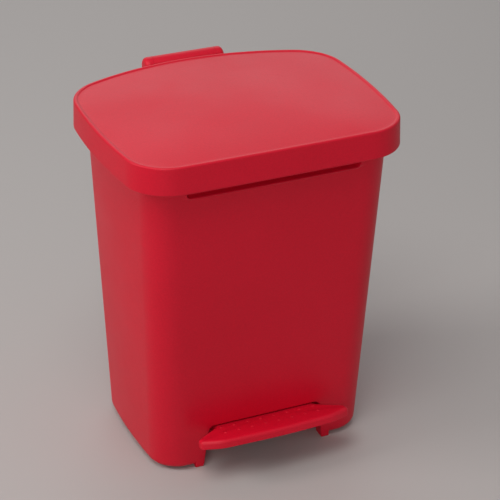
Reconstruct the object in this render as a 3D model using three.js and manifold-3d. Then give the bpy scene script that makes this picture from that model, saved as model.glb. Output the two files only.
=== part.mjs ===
// Step-on pedal bin, moulded in one colour of plastic, with a lid that a pedal lifts through a rod.
// Millimetres, +Z up, front towards -Y. Heights are from the floor and Y is from the middle of the lid,
// until the last lines put the origin in the middle of the footprint.
import * as THREE from 'three';
import { mergeVertices } from 'three/addons/utils/BufferGeometryUtils.js';
import Module from 'manifold-3d';

const wasm = await Module();
wasm.setup();

const degrees = THREE.MathUtils.degToRad;

// ---- Driving dimensions ------------------------------------------------------------------------

const gap = 0.3; // between parts that rest on each other
const runningGap = 0.15; // radial, round a turning or sliding shaft
const pressGap = 0.1; // radial, round a pin pressed or screwed home
const bite = 1; // how far a joined or cutting solid runs past the face it meets
const far = 400; // reach of cutting solids past the object

const lid = {
  width: 420,
  depth: 344,
  frontCorner: 64, // radius in plan
  rearCorner: 76,
  frontBow: 9000, // radius of the nearly straight front edge
  sideBow: 900,
  rearBow: 422,
  edgeHeight: 519, // top of the rim from the floor
  crown: 5, // rise of the middle over the rim
  skirt: 40.5, // height of the rim's side
  flare: 1.5, // the skirt leans out by this much
  edgeRadius: 3,
  leastRadius: 0.6, // of the rounding inside the edge
  wall: 2.6,
};

// The crown rises in rings, each this share of the edge's outline.
const crownRings = [0.86, 0.68, 0.46, 0.2];

const body = {
  overhang: 19.3, // from the lid's edge in to the body's wall, at the skirt's foot
  bottomWidth: 340,
  bottomDepth: 258,
  bottomShift: 7.5, // the bottom's middle lies this far behind the lid's middle
  bottomFrontCorner: 46,
  bottomRearCorner: 52,
  wall: 2.8,
  bottomHeight: 3, // underside of the body over the floor
  bottomRounding: 11,
  rimFlange: 5, // lip at the mouth, on the front and sides
  rimFlangeHeight: 3,
  rimFlangeEnd: 95, // the lip stops here, where the lid's skirt swings in
};

const recess = { halfLength: 129, belowSkirt: 16.5, height: 35, depth: 7, cornerRadius: 6 };

const cutout = { halfWidth: 95.5, topHalfWidth: 88, height: 70, cornerRadius: 10 };

const foot = { width: 12.5, length: 20 };

const tunnel = {
  clearance: 2, // beside the front cut-out
  wall: 2.6,
  wideEnd: -66, // the wide bay for the tread ends here
  frontCeiling: 75,
  rearCeiling: 61,
  laneHalfWidth: 28,
};

const hinge = {
  belowEdge: 11, // axis under the lid's edge
  underRim: 0.5, // the bar's front lies this far inside the lid's rear edge
  knuckleRadius: 14.5,
  barHalfLength: 62.5,
  lidKnuckle: 12.5, // length of each of the lid's two knuckles
  webThickness: 10,
  webFront: 29, // the lid knuckles' webs start this far in front of the axis
  notchClearance: 3.5, // from the bar's end to the edge of the notch in the skirt
  pinRadius: 3,
  pinHeadRadius: 5.5,
  pinHeadLength: 3,
  pinGrip: 24, // length of pin inside the middle knuckle
  opening: 75, // degrees the lid opens
};

const link = {
  rodToHinge: 20.5, // level distance between the rod and the hinge axis
  pinRadius: 2,
  pinHalfLength: 9,
  sideClearance: 1.1, // between pin and slot, across the slot
  endClearance: 0.9, // between pin and slot, along the slot
};

const lug = {
  thickness: 4,
  barClearance: 0.9, // between the blade's inner end and the hinge bar
  outerRadius: 31.5,
  endMargin: 5.5,
  innerCorner: 2,
  outerCorner: 3,
  heel: 8, // height of the blade's rear edge below its base
  baseInset: 2, // the base's near edge from the blade's inner end
  baseFar: 31, // the base's far edge from the hinge axis
  baseHalfWidth: 15,
  baseThickness: 3,
};

const fork = { halfWidth: 7, throat: 3, throatDepth: 13, baseDepth: 10, radius: 5 };

const rod = { radius: 3, socketDepth: 8 };

const guide = {
  lowerHeight: 117,
  upperDrop: 58, // the upper guide under the housing
  halfWidth: 12,
  front: 10, // from the rod's middle
  thickness: 14,
};

const housing = {
  belowAxis: 14, // its top under the hinge axis
  height: 69,
  wall: 2.8,
  pocketHalfWidth: 30,
  throatHalfWidth: 12, // the opening the lift lug swings in
  sweepRadius: 33,
};

const cover = { halfWidth: 34, depth: 27.3, wall: 2.4, bottom: 5 }; // depth is from the wall's top

const ear = { width: 15, height: 16, thickness: 3, standOff: 5.3 }; // stand-off from the wall's top

const screw = {
  shankRadius: 1.9,
  headRadius: 3.9,
  headHeight: 2.4,
  grip: 7, // length in the boss
  bossRadius: 4.6,
  tipClearance: 1.5,
};

// How far each pair of screws is from the end of its moulding.
const screwFromEnd = { housingFoot: 16, housingTop: 19, coverFoot: 65, coverTop: 28 };

const pedal = {
  axleY: 15,
  axleHeight: 33,
  tilt: 10, // degrees the tread rises towards the front at rest
  frontReach: 200, // axle to the front edge
  frontHalfWidth: 88,
  frontBow: 900,
  frontCorner: 60,
  cornerReach: 195.7,
  endHalfWidth: 117,
  endFrontReach: 184,
  endRearReach: 172,
  endCorner: 3.8,
  neckHalfWidth: 80,
  neckReach: 145,
  neckCorner: 6,
  rearReach: 100,
  rearCorner: 4,
  height: 13, // of the rolled front lip
  wall: 3,
  edgeRadius: 3,
  top: 10.4, // the tread's top over the axle, square to the tread
  ribThickness: 2.2,
  ribSpacing: 26,
  ribLift: 4, // the ribs end this far over the lip's lower edge
};

const lever = {
  halfWidth: 18,
  wall: 3,
  frontReach: 152,
  seat: -3, // top of the lever under the tread, from the axle's level
  seatReach: 92, // the seat under the tread ends here
  rise: 8, // top of the lever over the axle
  riseReach: 12, // the full rise starts here, in front of the axle
  drop: 15,
  pinPastEnd: 23.4, // the lever's box ends this far before the pin
  restDrift: 0.717, // at rest the rod's pin lies this far past the slot's middle
  pinRise: 4,
  tongueRadius: 6.5,
  tongueCorner: 5,
  tongueThickness: 4,
  slotCorner: 2,
  pinSlack: 0.9, // how far the pin drifts along the lever, each way
};

const leverScrewReaches = [114, 138];

const axle = { radius: 4, bearingWidth: 6, bearingHalfLength: 10, ringRadius: 7.5, ringWidth: 1.2 };

// ---- Materials ---------------------------------------------------------------------------------

function material(color, roughness, metalness = 0) {
  return new THREE.MeshStandardMaterial({ color, roughness, metalness });
}

const redPlastic = () => material(0xc0202e, 0.45);
const blackNylon = () => material(0x1b1c1e, 0.5);
const zincSteel = () => material(0xb9bcc0, 0.35, 1);

// ---- Solids ------------------------------------------------------------------------------------

// Turns a closed three.js geometry into a solid that can be cut and joined.
function solid(geometry) {
  const bare = geometry.index ? geometry.clone() : geometry;
  bare.deleteAttribute('normal');
  bare.deleteAttribute('uv');
  const merged = mergeVertices(bare, 1e-4);
  return new wasm.Manifold(new wasm.Mesh({
    numProp: 3,
    vertProperties: new Float32Array(merged.attributes.position.array),
    triVerts: new Uint32Array(merged.index.array),
  }));
}

function meshOf(name, manifold, surface) {
  const { vertProperties, triVerts } = manifold.getMesh();
  const geometry = new THREE.BufferGeometry();
  geometry.setAttribute('position', new THREE.BufferAttribute(new Float32Array(vertProperties), 3));
  geometry.setIndex(new THREE.BufferAttribute(new Uint32Array(triVerts), 1));
  const mesh = new THREE.Mesh(geometry, surface);
  mesh.name = name;
  return mesh;
}

// A box between two corners.
function block(low, high) {
  const size = new THREE.Vector3().subVectors(high, low);
  const geometry = new THREE.BoxGeometry(size.x, size.y, size.z);
  geometry.translate((low.x + high.x) / 2, (low.y + high.y) / 2, (low.z + high.z) / 2);
  return solid(geometry);
}

const at = (x, y, z) => new THREE.Vector3(x, y, z);

const ordered = (a, b) => [Math.min(a, b), Math.max(a, b)];

// A cylinder along X from x0 to x1.
function barX(radius, x0, x1, y, z, sides = 24) {
  const geometry = new THREE.CylinderGeometry(radius, radius, x1 - x0, sides);
  geometry.rotateZ(Math.PI / 2);
  geometry.translate((x0 + x1) / 2, y, z);
  return solid(geometry);
}

// A cylinder along Y from y0 to y1.
function barY(radius, y0, y1, x, z, sides = 16) {
  const geometry = new THREE.CylinderGeometry(radius, radius, y1 - y0, sides);
  geometry.translate(x, (y0 + y1) / 2, 0);
  geometry.applyMatrix4(new THREE.Matrix4().makeTranslation(0, 0, z));
  return solid(geometry);
}

// A cylinder along Z from z0 to z1.
function barZ(radius, z0, z1, x, y, sides = 20) {
  const geometry = new THREE.CylinderGeometry(radius, radius, z1 - z0, sides);
  geometry.rotateX(Math.PI / 2);
  geometry.translate(x, y, (z0 + z1) / 2);
  return solid(geometry);
}

// A shape drawn in the Y-Z plane, carried along X from x0 to x1.
function slabX(shape, x0, x1) {
  const across = { depth: x1 - x0, bevelEnabled: false, curveSegments: 8 };
  const geometry = new THREE.ExtrudeGeometry(shape, across);
  geometry.rotateY(Math.PI / 2);
  geometry.rotateX(Math.PI / 2);
  geometry.translate(x0, 0, 0);
  return solid(geometry);
}

// A shape drawn in the X-Z plane, carried along Y from y0 to y1.
function slabY(shape, y0, y1) {
  const through = { depth: y1 - y0, bevelEnabled: false, curveSegments: 6 };
  const geometry = new THREE.ExtrudeGeometry(shape, through);
  geometry.rotateX(Math.PI / 2);
  geometry.translate(0, y1, 0);
  return solid(geometry);
}

// A closed shape through corner points, each corner rounded by an arc of the radius beside it.
function roundedShape(corners) {
  const points = corners.map(([x, y]) => new THREE.Vector2(x, y));
  const shape = new THREE.Shape();
  corners.forEach(([, , radius = 0], i) => {
    const corner = points[i];
    const toBefore = points[(i + points.length - 1) % points.length].clone().sub(corner).normalize();
    const toAfter = points[(i + 1) % points.length].clone().sub(corner).normalize();
    const halfAngle = Math.acos(THREE.MathUtils.clamp(toBefore.dot(toAfter), -1, 1)) / 2;
    const reach = radius / Math.tan(halfAngle);
    const start = corner.clone().addScaledVector(toBefore, reach);
    if (i === 0) shape.moveTo(start.x, start.y);
    else shape.lineTo(start.x, start.y);
    if (radius === 0) return;
    const inward = toBefore.clone().add(toAfter).normalize();
    const centre = corner.clone().addScaledVector(inward, radius / Math.sin(halfAngle));
    const end = corner.clone().addScaledVector(toAfter, reach);
    const clockwise = toBefore.cross(toAfter) > 0;
    const from = Math.atan2(start.y - centre.y, start.x - centre.x);
    const to = Math.atan2(end.y - centre.y, end.x - centre.x);
    shape.absarc(centre.x, centre.y, radius, from, to, clockwise);
  });
  shape.closePath();
  return shape;
}

// Skins a stack of rings, each a list of 3-D points running anticlockwise seen from above, from the
// lowest ring to the highest, and closes both ends with a fan round their middle.
function loft(rings) {
  const count = rings[0].length;
  const positions = rings.flat().flatMap((p) => [p.x, p.y, p.z]);
  const faces = [];
  for (let r = 0; r + 1 < rings.length; r += 1) {
    for (let i = 0; i < count; i += 1) {
      const next = (i + 1) % count;
      const [a, b] = [r * count + i, r * count + next];
      faces.push(a, b, b + count, a, b + count, a + count);
    }
  }
  const ends = [rings[0], rings.at(-1)];
  ends.forEach((end, which) => {
    const middle = end.reduce((sum, p) => sum.add(p), new THREE.Vector3()).divideScalar(count);
    const hub = positions.length / 3;
    positions.push(middle.x, middle.y, middle.z);
    const first = which === 0 ? 0 : (rings.length - 1) * count;
    for (let i = 0; i < count; i += 1) {
      const edge = [first + i, first + ((i + 1) % count)];
      faces.push(...(which === 0 ? edge.reverse() : edge), hub);
    }
  });
  const geometry = new THREE.BufferGeometry();
  geometry.setAttribute('position', new THREE.Float32BufferAttribute(positions, 3));
  geometry.setIndex(faces);
  return solid(geometry);
}

// ---- Plan outlines -----------------------------------------------------------------------------

// The crossing of two circles that lies furthest towards +X.
function circlesMeet(a, radiusA, b, radiusB) {
  const line = new THREE.Vector2().subVectors(b, a);
  const distance = line.length();
  const along = (distance ** 2 + radiusA ** 2 - radiusB ** 2) / (2 * distance);
  const across = Math.sqrt(radiusA ** 2 - along ** 2);
  line.normalize();
  const normal = new THREE.Vector2(-line.y, line.x);
  const middle = a.clone().addScaledVector(line, along);
  const [left, right] = [across, -across].map((s) => middle.clone().addScaledVector(normal, s));
  return left.x > right.x ? left : right;
}

function arcPoints(centre, radius, from, to, steps) {
  const points = [];
  for (let i = 0; i < steps; i += 1) {
    const angle = from + (to - from) * (i / steps);
    points.push(new THREE.Vector2(centre.x + radius * Math.cos(angle), centre.y + radius * Math.sin(angle)));
  }
  return points;
}

// A rounded rectangle whose four sides are bowed arcs, moved in by a distance on every side.
// Returns points anticlockwise from the middle of the front edge.
function planOutline(plan, inset = 0) {
  const halfWidth = plan.width / 2;
  const halfDepth = plan.depth / 2;
  const front = new THREE.Vector2(0, -halfDepth + plan.frontBow);
  const rear = new THREE.Vector2(0, halfDepth - plan.rearBow);
  const side = new THREE.Vector2(halfWidth - plan.sideBow, 0);
  const sideFrom = (radius) => plan.sideBow - radius;
  const cornerCentre = (end, bow, radius) => circlesMeet(end, bow - radius, side, sideFrom(radius));
  const frontCorner = cornerCentre(front, plan.frontBow, plan.frontCorner);
  const rearCorner = cornerCentre(rear, plan.rearBow, plan.rearCorner);
  const angleFrom = (centre, point) => Math.atan2(point.y - centre.y, point.x - centre.x);
  const frontEnd = angleFrom(front, frontCorner);
  const sideStart = angleFrom(side, frontCorner);
  const sideEnd = angleFrom(side, rearCorner);
  const rearStart = angleFrom(rear, rearCorner);
  const half = [
    ...arcPoints(front, plan.frontBow - inset, -Math.PI / 2, frontEnd, 2),
    ...arcPoints(frontCorner, plan.frontCorner - inset, frontEnd, sideStart, 8),
    ...arcPoints(side, plan.sideBow - inset, sideStart, sideEnd, 4),
    ...arcPoints(rearCorner, plan.rearCorner - inset, sideEnd, rearStart, 8),
    ...arcPoints(rear, plan.rearBow - inset, rearStart, Math.PI / 2, 5),
    new THREE.Vector2(0, halfDepth - inset),
  ];
  const mirrored = half.slice(1, -1).reverse().map((p) => new THREE.Vector2(-p.x, p.y));
  return [...half, ...mirrored].map((p) => p.add(new THREE.Vector2(0, plan.shift ?? 0)));
}

const ring = (points, z) => points.map((p) => new THREE.Vector3(p.x, p.y, z));

// A flat outline moved in along its own normals.
function insetOutline(points, distance) {
  return points.map((p, i) => {
    const before = points[(i + points.length - 1) % points.length];
    const after = points[(i + 1) % points.length];
    const along = after.clone().sub(before).normalize();
    return new THREE.Vector2(p.x - along.y * distance, p.y + along.x * distance);
  });
}

// ---- Places worked out from the dimensions -----------------------------------------------------

const skirtFoot = lid.edgeHeight - lid.skirt;
const wallTopY = lid.depth / 2 - body.overhang; // rear face of the body at the skirt's foot
const earSeat = wallTopY + ear.standOff;
const coverBack = wallTopY + cover.depth;
const recessBottom = skirtFoot - recess.belowSkirt;
const recessTop = recessBottom + recess.height;
const lidUnderside = lid.edgeHeight - lid.wall;
const rimTop = lidUnderside - gap;
const hingeZ = lid.edgeHeight - hinge.belowEdge;
const hingeY = lid.depth / 2 + hinge.knuckleRadius - hinge.underRim;
const housingTop = hingeZ - housing.belowAxis;
const housingBottom = housingTop - housing.height;
const guideHeights = { rod_guide_lower: guide.lowerHeight, rod_guide_upper: housingBottom - guide.upperDrop };
const knuckleEnd = hinge.barHalfLength - hinge.lidKnuckle; // inner end of each lid knuckle
const middleHalf = knuckleEnd - gap; // half length of the middle knuckle
const rodY = hingeY - link.rodToHinge;
const halfOpening = degrees(hinge.opening / 2);
const headPinZ = hingeZ - link.rodToHinge * Math.tan(halfOpening);
const tiltAngle = degrees(pedal.tilt);
// The lever reaches back to the rod, wherever the hinge puts it.
const restReach = (rodY - pedal.axleY - lever.pinRise * Math.sin(tiltAngle)) / Math.cos(tiltAngle);
const pinReach = restReach - lever.restDrift;
const leverEnd = pinReach - lever.pinPastEnd;
const footPinDrop = pinReach * Math.sin(tiltAngle) - lever.pinRise * Math.cos(tiltAngle);
const footPinZ = pedal.axleHeight - footPinDrop;

// The lug's base hangs on two bosses under the lid, just behind the body's rear wall.
const lugInner = hinge.knuckleRadius + lug.barClearance;
const lugBaseNear = lugInner + lug.baseInset;
const lugBaseTop = hingeZ;
const lugBaseY = hingeY - (lugBaseNear + lug.baseFar) / 2;
const lugScrewX = [-1, 1].map((side) => side * (lug.baseHalfWidth - screw.bossRadius));

// The body's plan at a height: straight walls between the bottom plan and the plan under the lid.
function bodyPlan(z) {
  const t = (z - body.bottomHeight) / (skirtFoot - body.bottomHeight);
  const mix = (bottom, top) => bottom + (top - bottom) * t;
  return {
    width: mix(body.bottomWidth, lid.width - 2 * body.overhang),
    depth: mix(body.bottomDepth, lid.depth - 2 * body.overhang),
    frontCorner: mix(body.bottomFrontCorner, lid.frontCorner - body.overhang),
    rearCorner: mix(body.bottomRearCorner, lid.rearCorner - body.overhang),
    frontBow: lid.frontBow,
    sideBow: lid.sideBow,
    rearBow: lid.rearBow,
    shift: mix(body.bottomShift, 0),
  };
}

// The body's form from z0 to z1, moved in by a distance (out when negative).
function bodyForm(z0, z1, inset = 0) {
  return loft([z0, z1].map((z) => ring(planOutline(bodyPlan(z), inset), z)));
}

const bodyFrontY = (z) => Math.min(...planOutline(bodyPlan(z)).map((p) => p.y));

// ---- Body --------------------------------------------------------------------------------------

// The bucket's outer or inner form, with the rounded edge round its bottom.
function bucket(inset, top) {
  const radius = body.bottomRounding - inset;
  const rings = [];
  for (let step = 0; step <= 4; step += 1) {
    const angle = (step / 4) * (Math.PI / 2);
    const z = body.bottomHeight + inset + radius * (1 - Math.cos(angle));
    rings.push(ring(planOutline(bodyPlan(z), inset + radius * (1 - Math.sin(angle))), z));
  }
  rings.push(ring(planOutline(bodyPlan(top), inset), top));
  return loft(rings);
}

// The raised tunnel under the floor: a wide front bay for the tread and a lane for the lever.
function tunnelForm(grow) {
  const ceiling = (y) => {
    const t = (y + lid.depth / 2) / lid.depth;
    return tunnel.frontCeiling + (tunnel.rearCeiling - tunnel.frontCeiling) * t + grow;
  };
  const profile = (y0, y1) => roundedShape([[y0, -far], [y1, -far], [y1, ceiling(y1)], [y0, ceiling(y0)]]);
  const bayHalf = cutout.halfWidth + tunnel.clearance + grow;
  const laneHalf = tunnel.laneHalfWidth + grow;
  const bay = slabX(profile(-lid.depth / 2, tunnel.wideEnd + grow), -bayHalf, bayHalf);
  const lane = slabX(profile(tunnel.wideEnd - bite, lid.depth / 2), -laneHalf, laneHalf);
  return { bay, lane };
}

function recessForm(grow) {
  const x = recess.halfLength + grow;
  const [low, high] = [recessBottom - grow, recessTop + grow];
  const r = recess.cornerRadius + grow;
  const shape = roundedShape([[-x, low, r], [x, low, r], [x, high, r], [-x, high, r]]);
  return slabY(shape, -far, bodyFrontY(recessBottom) + recess.depth + grow);
}

function cutoutForm() {
  const r = cutout.cornerRadius;
  const shape = roundedShape([
    [-cutout.halfWidth, -bite],
    [cutout.halfWidth, -bite],
    [cutout.topHalfWidth, cutout.height, r],
    [-cutout.topHalfWidth, cutout.height, r],
  ]);
  return slabY(shape, -far, tunnel.wideEnd - tunnel.wall);
}

// Screw places as [x, z] pairs, on both sides.
function screwPlaces(halfWidth, heights) {
  const x = halfWidth + ear.width / 2;
  return heights.flatMap((z) => [[-x, z], [x, z]]);
}

const housingScrews = screwPlaces(middleHalf, [
  housingBottom + screwFromEnd.housingFoot,
  housingTop - screwFromEnd.housingTop,
]);
const coverScrews = screwPlaces(cover.halfWidth, [
  cover.bottom + screwFromEnd.coverFoot,
  housingBottom - screwFromEnd.coverTop,
]);

function bodyShell() {
  const outer = bucket(0, rimTop);
  const inner = bucket(body.wall, rimTop + bite);
  const { bay: bayOuter, lane: laneOuter } = tunnelForm(tunnel.wall);
  const { bay, lane } = tunnelForm(0);
  const wallInside = bodyForm(-bite, rimTop, body.wall);
  let shell = outer.subtract(inner);
  shell = shell.add(recessForm(body.wall).intersect(outer)).subtract(recessForm(0));
  shell = shell.add(bayOuter.add(laneOuter).intersect(outer));
  shell = shell.subtract(bay.intersect(wallInside)).subtract(lane);
  const flange = bodyForm(rimTop - body.rimFlangeHeight, rimTop, -body.rimFlange)
    .subtract(bodyForm(rimTop - 2 * body.rimFlangeHeight, rimTop + bite, body.wall / 2))
    .subtract(block(at(-far, body.rimFlangeEnd, 0), at(far, far, 2 * far)));
  shell = shell.add(flange);
  for (const [x, z] of [...housingScrews, ...coverScrews]) {
    const boss = barY(screw.bossRadius, 0, earSeat - gap, x, z).subtract(wallInside);
    const hole = barY(screw.shankRadius + gap, earSeat - screw.grip - gap, far, x, z);
    shell = shell.add(boss).subtract(hole);
  }
  return shell.add(feet()).subtract(cutoutForm());
}

// Four feet carry the walls' slope down to the floor, beside the tunnel's two mouths.
function feet() {
  const footX = cutout.halfWidth + foot.width;
  const outline = planOutline(bodyPlan(0)).filter((p) => Math.abs(p.x) < footX);
  const frontEnd = Math.min(...outline.map((p) => p.y)) + foot.length;
  const rearStart = Math.min(...outline.filter((p) => p.y > 0).map((p) => p.y)) - foot.length;
  return block(at(-footX, -far, 0), at(footX, far, far))
    .subtract(block(at(-cutout.halfWidth, -far, -bite), at(cutout.halfWidth, far, far + bite)))
    .subtract(block(at(-far, frontEnd, -bite), at(far, rearStart, far + bite)))
    .intersect(bodyForm(0, body.bottomHeight + body.bottomRounding));
}

// ---- Rear hinge housing and rod cover ------------------------------------------------------------

function ears(places, halfWidth) {
  return places.map(([x, z]) => {
    const inner = Math.sign(x) * (halfWidth - bite);
    const outer = Math.sign(x) * (halfWidth + ear.width);
    const [left, right] = ordered(inner, outer);
    const low = at(left, earSeat, z - ear.height / 2);
    const high = at(right, earSeat + ear.thickness, z + ear.height / 2);
    return block(low, high).subtract(barY(screw.shankRadius + gap, 0, far, x, z));
  });
}

function hingeHousing() {
  const back = hingeY + hinge.knuckleRadius;
  const front = hingeY - hinge.knuckleRadius;
  const skin = housing.wall;
  const pocketTop = hingeZ - hinge.knuckleRadius - skin;
  const outline = roundedShape([
    [0, housingBottom],
    [coverBack, housingBottom],
    [back, pocketTop],
    [back, hingeZ],
    [front, hingeZ],
    [front, housingTop],
    [0, housingTop],
  ]);
  const hollow = roundedShape([
    [0, housingBottom - bite],
    [coverBack - skin, housingBottom - bite],
    [back - skin, pocketTop],
    [0, pocketTop],
  ]);
  const pocket = housing.pocketHalfWidth;
  let made = slabX(outline, -middleHalf, middleHalf).subtract(slabX(hollow, -pocket, pocket));
  made = made.subtract(slabX(hollow, pocket + skin, middleHalf - skin));
  made = made.subtract(slabX(hollow, skin - middleHalf, -pocket - skin));
  made = made.add(barX(hinge.knuckleRadius, -middleHalf, middleHalf, hingeY, hingeZ, 40));
  made = made.subtract(lugThroat());
  for (const one of ears(housingScrews, middleHalf)) made = made.add(one);
  made = made.subtract(bodyForm(0, rimTop + bite, -gap));
  for (const side of [-1, 1]) {
    const ends = ordered(side * (middleHalf + bite), side * (middleHalf - hinge.pinGrip - gap));
    made = made.subtract(barX(hinge.pinRadius + runningGap, ...ends, hingeY, hingeZ));
  }
  return made;
}

// The quarter-round slot in the housing that the lift lug swings through.
function lugThroat() {
  const half = housing.throatHalfWidth;
  return barX(housing.sweepRadius, -half, half, hingeY, hingeZ, 40)
    .intersect(block(at(-far, 0, 0), at(far, hingeY, 2 * far)))
    .subtract(barX(hinge.knuckleRadius, -far, far, hingeY, hingeZ, 40));
}

function rodCover() {
  const top = housingBottom - gap;
  const outer = block(at(-cover.halfWidth, 0, cover.bottom), at(cover.halfWidth, coverBack, top));
  const inside = cover.halfWidth - cover.wall;
  const hollow = block(at(-inside, -bite, 0), at(inside, coverBack - cover.wall, far * 2));
  let made = outer.subtract(hollow);
  for (const one of ears(coverScrews, cover.halfWidth)) made = made.add(one);
  return made.subtract(bodyForm(-bite, rimTop, -gap));
}

function rodGuide(z) {
  const half = guide.thickness / 2;
  const low = at(-guide.halfWidth, rodY - guide.front, z - half);
  const high = at(guide.halfWidth, coverBack - cover.wall - gap, z + half);
  return block(low, high).subtract(barZ(rod.radius + runningGap, 0, far * 2, 0, rodY));
}

// A pan-head screw along Y, its head on an ear.
function earScrew(x, z) {
  const face = earSeat + ear.thickness + gap;
  const shank = barY(screw.shankRadius, earSeat - screw.grip, face + bite, x, z, 12);
  return shank.add(barY(screw.headRadius, face, face + screw.headHeight, x, z, 16));
}

// ---- Lid -----------------------------------------------------------------------------------------

// The lid's outer form, or its inner form when inset by the wall: skirt, rounded edge and crown.
function lidForm(inset, foot) {
  const radius = Math.max(lid.edgeRadius - inset, lid.leastRadius);
  const top = lid.edgeHeight - inset;
  const rings = [ring(planOutline(lid, inset - lid.flare), foot)];
  for (let step = 0; step <= 3; step += 1) {
    const angle = (step / 3) * (Math.PI / 2);
    const z = top - radius + radius * Math.sin(angle);
    rings.push(ring(planOutline(lid, inset + radius * (1 - Math.cos(angle))), z));
  }
  const edge = planOutline(lid, inset + radius);
  for (const scale of crownRings) {
    const points = edge.map((p) => p.clone().multiplyScalar(scale));
    rings.push(ring(points, top + lid.crown * (1 - scale ** 2)));
  }
  return loft(rings);
}

function lidShell() {
  const notchHalf = hinge.barHalfLength + hinge.notchClearance;
  const postBack = lid.depth / 2 - lid.edgeRadius;
  let made = lidForm(0, skirtFoot).subtract(lidForm(lid.wall, skirtFoot - bite));
  made = made.subtract(block(at(-notchHalf, 0, 0), at(notchHalf, far, lidUnderside)));
  for (const side of [-1, 1]) {
    const [left, right] = ordered(side * knuckleEnd, side * hinge.barHalfLength);
    const webLow = at(left, hingeY - hinge.webFront, hingeZ - hinge.webThickness / 2);
    const webHigh = at(right, hingeY, hingeZ + hinge.webThickness / 2);
    made = made.add(barX(hinge.knuckleRadius, left, right, hingeY, hingeZ, 40));
    made = made.add(block(webLow, webHigh)).add(block(webLow, at(right, postBack, lidUnderside + bite)));
    made = made.subtract(barX(hinge.pinRadius + pressGap, -far, far, hingeY, hingeZ));
    const head = ordered(side * (hinge.barHalfLength - hinge.pinHeadLength), side * far);
    made = made.subtract(barX(hinge.pinHeadRadius + pressGap, ...head, hingeY, hingeZ));
  }
  for (const x of lugScrewX) {
    made = made.add(barZ(screw.bossRadius, lugBaseTop + gap, lidUnderside + bite, x, lugBaseY));
    made = made.subtract(barZ(screw.shankRadius + gap, 0, lidUnderside - gap, x, lugBaseY));
  }
  return made;
}

function hingePin(side) {
  const outer = side * hinge.barHalfLength;
  const shank = ordered(side * (knuckleEnd - hinge.pinGrip), outer);
  const head = ordered(side * (hinge.barHalfLength - hinge.pinHeadLength + gap), outer);
  return barX(hinge.pinRadius, ...shank, hingeY, hingeZ)
    .add(barX(hinge.pinHeadRadius, ...head, hingeY, hingeZ));
}

// A slotted plate under the lid. Its slot points at the hinge axis, and the rod's head pin runs in it.
function liftLug() {
  const half = lug.thickness / 2;
  const radial = (r, across) => {
    const angle = Math.PI + halfOpening;
    return [
      hingeY + r * Math.cos(angle) - across * Math.sin(angle),
      hingeZ + r * Math.sin(angle) + across * Math.cos(angle),
    ];
  };
  const blade = roundedShape([
    [hingeY - lug.baseFar, hingeZ - lug.heel, lug.outerCorner],
    [hingeY - lug.baseFar, lugBaseTop],
    [hingeY - lugBaseNear, lugBaseTop],
    [...radial(lugInner, -lug.endMargin), lug.innerCorner],
    [...radial(lugInner, lug.endMargin), lug.innerCorner],
    [...radial(lug.outerRadius, lug.endMargin), lug.outerCorner],
  ]);
  const slotIn = link.rodToHinge - link.pinRadius - link.endClearance;
  const slotOut = link.rodToHinge / Math.cos(halfOpening) + link.pinRadius + link.endClearance;
  const slotHalf = link.pinRadius + link.sideClearance;
  const slotCorner = slotHalf - gap;
  const slot = roundedShape([
    [...radial(slotOut, -slotHalf), slotCorner],
    [...radial(slotIn, -slotHalf), slotCorner],
    [...radial(slotIn, slotHalf), slotCorner],
    [...radial(slotOut, slotHalf), slotCorner],
  ]);
  const base = block(
    at(-lug.baseHalfWidth, hingeY - lug.baseFar, lugBaseTop - lug.baseThickness),
    at(lug.baseHalfWidth, hingeY - lugBaseNear, lugBaseTop),
  );
  let made = slabX(blade, -half, half).add(base).subtract(slabX(slot, -half - bite, half + bite));
  for (const x of lugScrewX) {
    made = made.subtract(barZ(screw.shankRadius + gap, 0, far * 2, x, lugBaseY));
  }
  return made;
}

// A pan-head screw up through the lug's base into a boss of the lid.
function lugScrew(x) {
  const face = lugBaseTop - lug.baseThickness - gap;
  return barZ(screw.shankRadius, face - bite, lidUnderside - screw.tipClearance, x, lugBaseY, 12)
    .add(barZ(screw.headRadius, face - screw.headHeight, face, x, lugBaseY, 16));
}

// ---- Lift rod ------------------------------------------------------------------------------------

// A fork round a cross pin at a height; `up` is 1 when its mouth opens upwards and -1 downwards.
function rodFork(pinZ, up) {
  const root = fork.throatDepth + fork.baseDepth;
  const heights = (from, to) => ordered(pinZ + up * from, pinZ + up * to);
  const [cheekLow, cheekHigh] = heights(-root, 0);
  const cheekFront = at(-fork.halfWidth, rodY - fork.radius, cheekLow);
  const cheekBack = at(fork.halfWidth, rodY + fork.radius, cheekHigh);
  const [throatLow, throatHigh] = heights(-fork.throatDepth, 2 * fork.radius);
  const socket = heights(-root - bite, -root + rod.socketDepth);
  return block(cheekFront, cheekBack)
    .add(barX(fork.radius, -fork.halfWidth, fork.halfWidth, rodY, pinZ))
    .subtract(block(at(-fork.throat, 0, throatLow), at(fork.throat, far, throatHigh)))
    .subtract(barX(link.pinRadius + pressGap, -far, far, rodY, pinZ))
    .subtract(barZ(rod.radius + pressGap, ...socket, 0, rodY));
}

function liftRod() {
  const inFork = fork.throatDepth + fork.baseDepth - rod.socketDepth + gap;
  return barZ(rod.radius, footPinZ + inFork, headPinZ - inFork, 0, rodY);
}

const crossPin = (pinZ) => barX(link.pinRadius, -link.pinHalfLength, link.pinHalfLength, rodY, pinZ, 16);

// ---- Pedal, drawn level round its axle, front towards -Y ------------------------------------------

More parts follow.
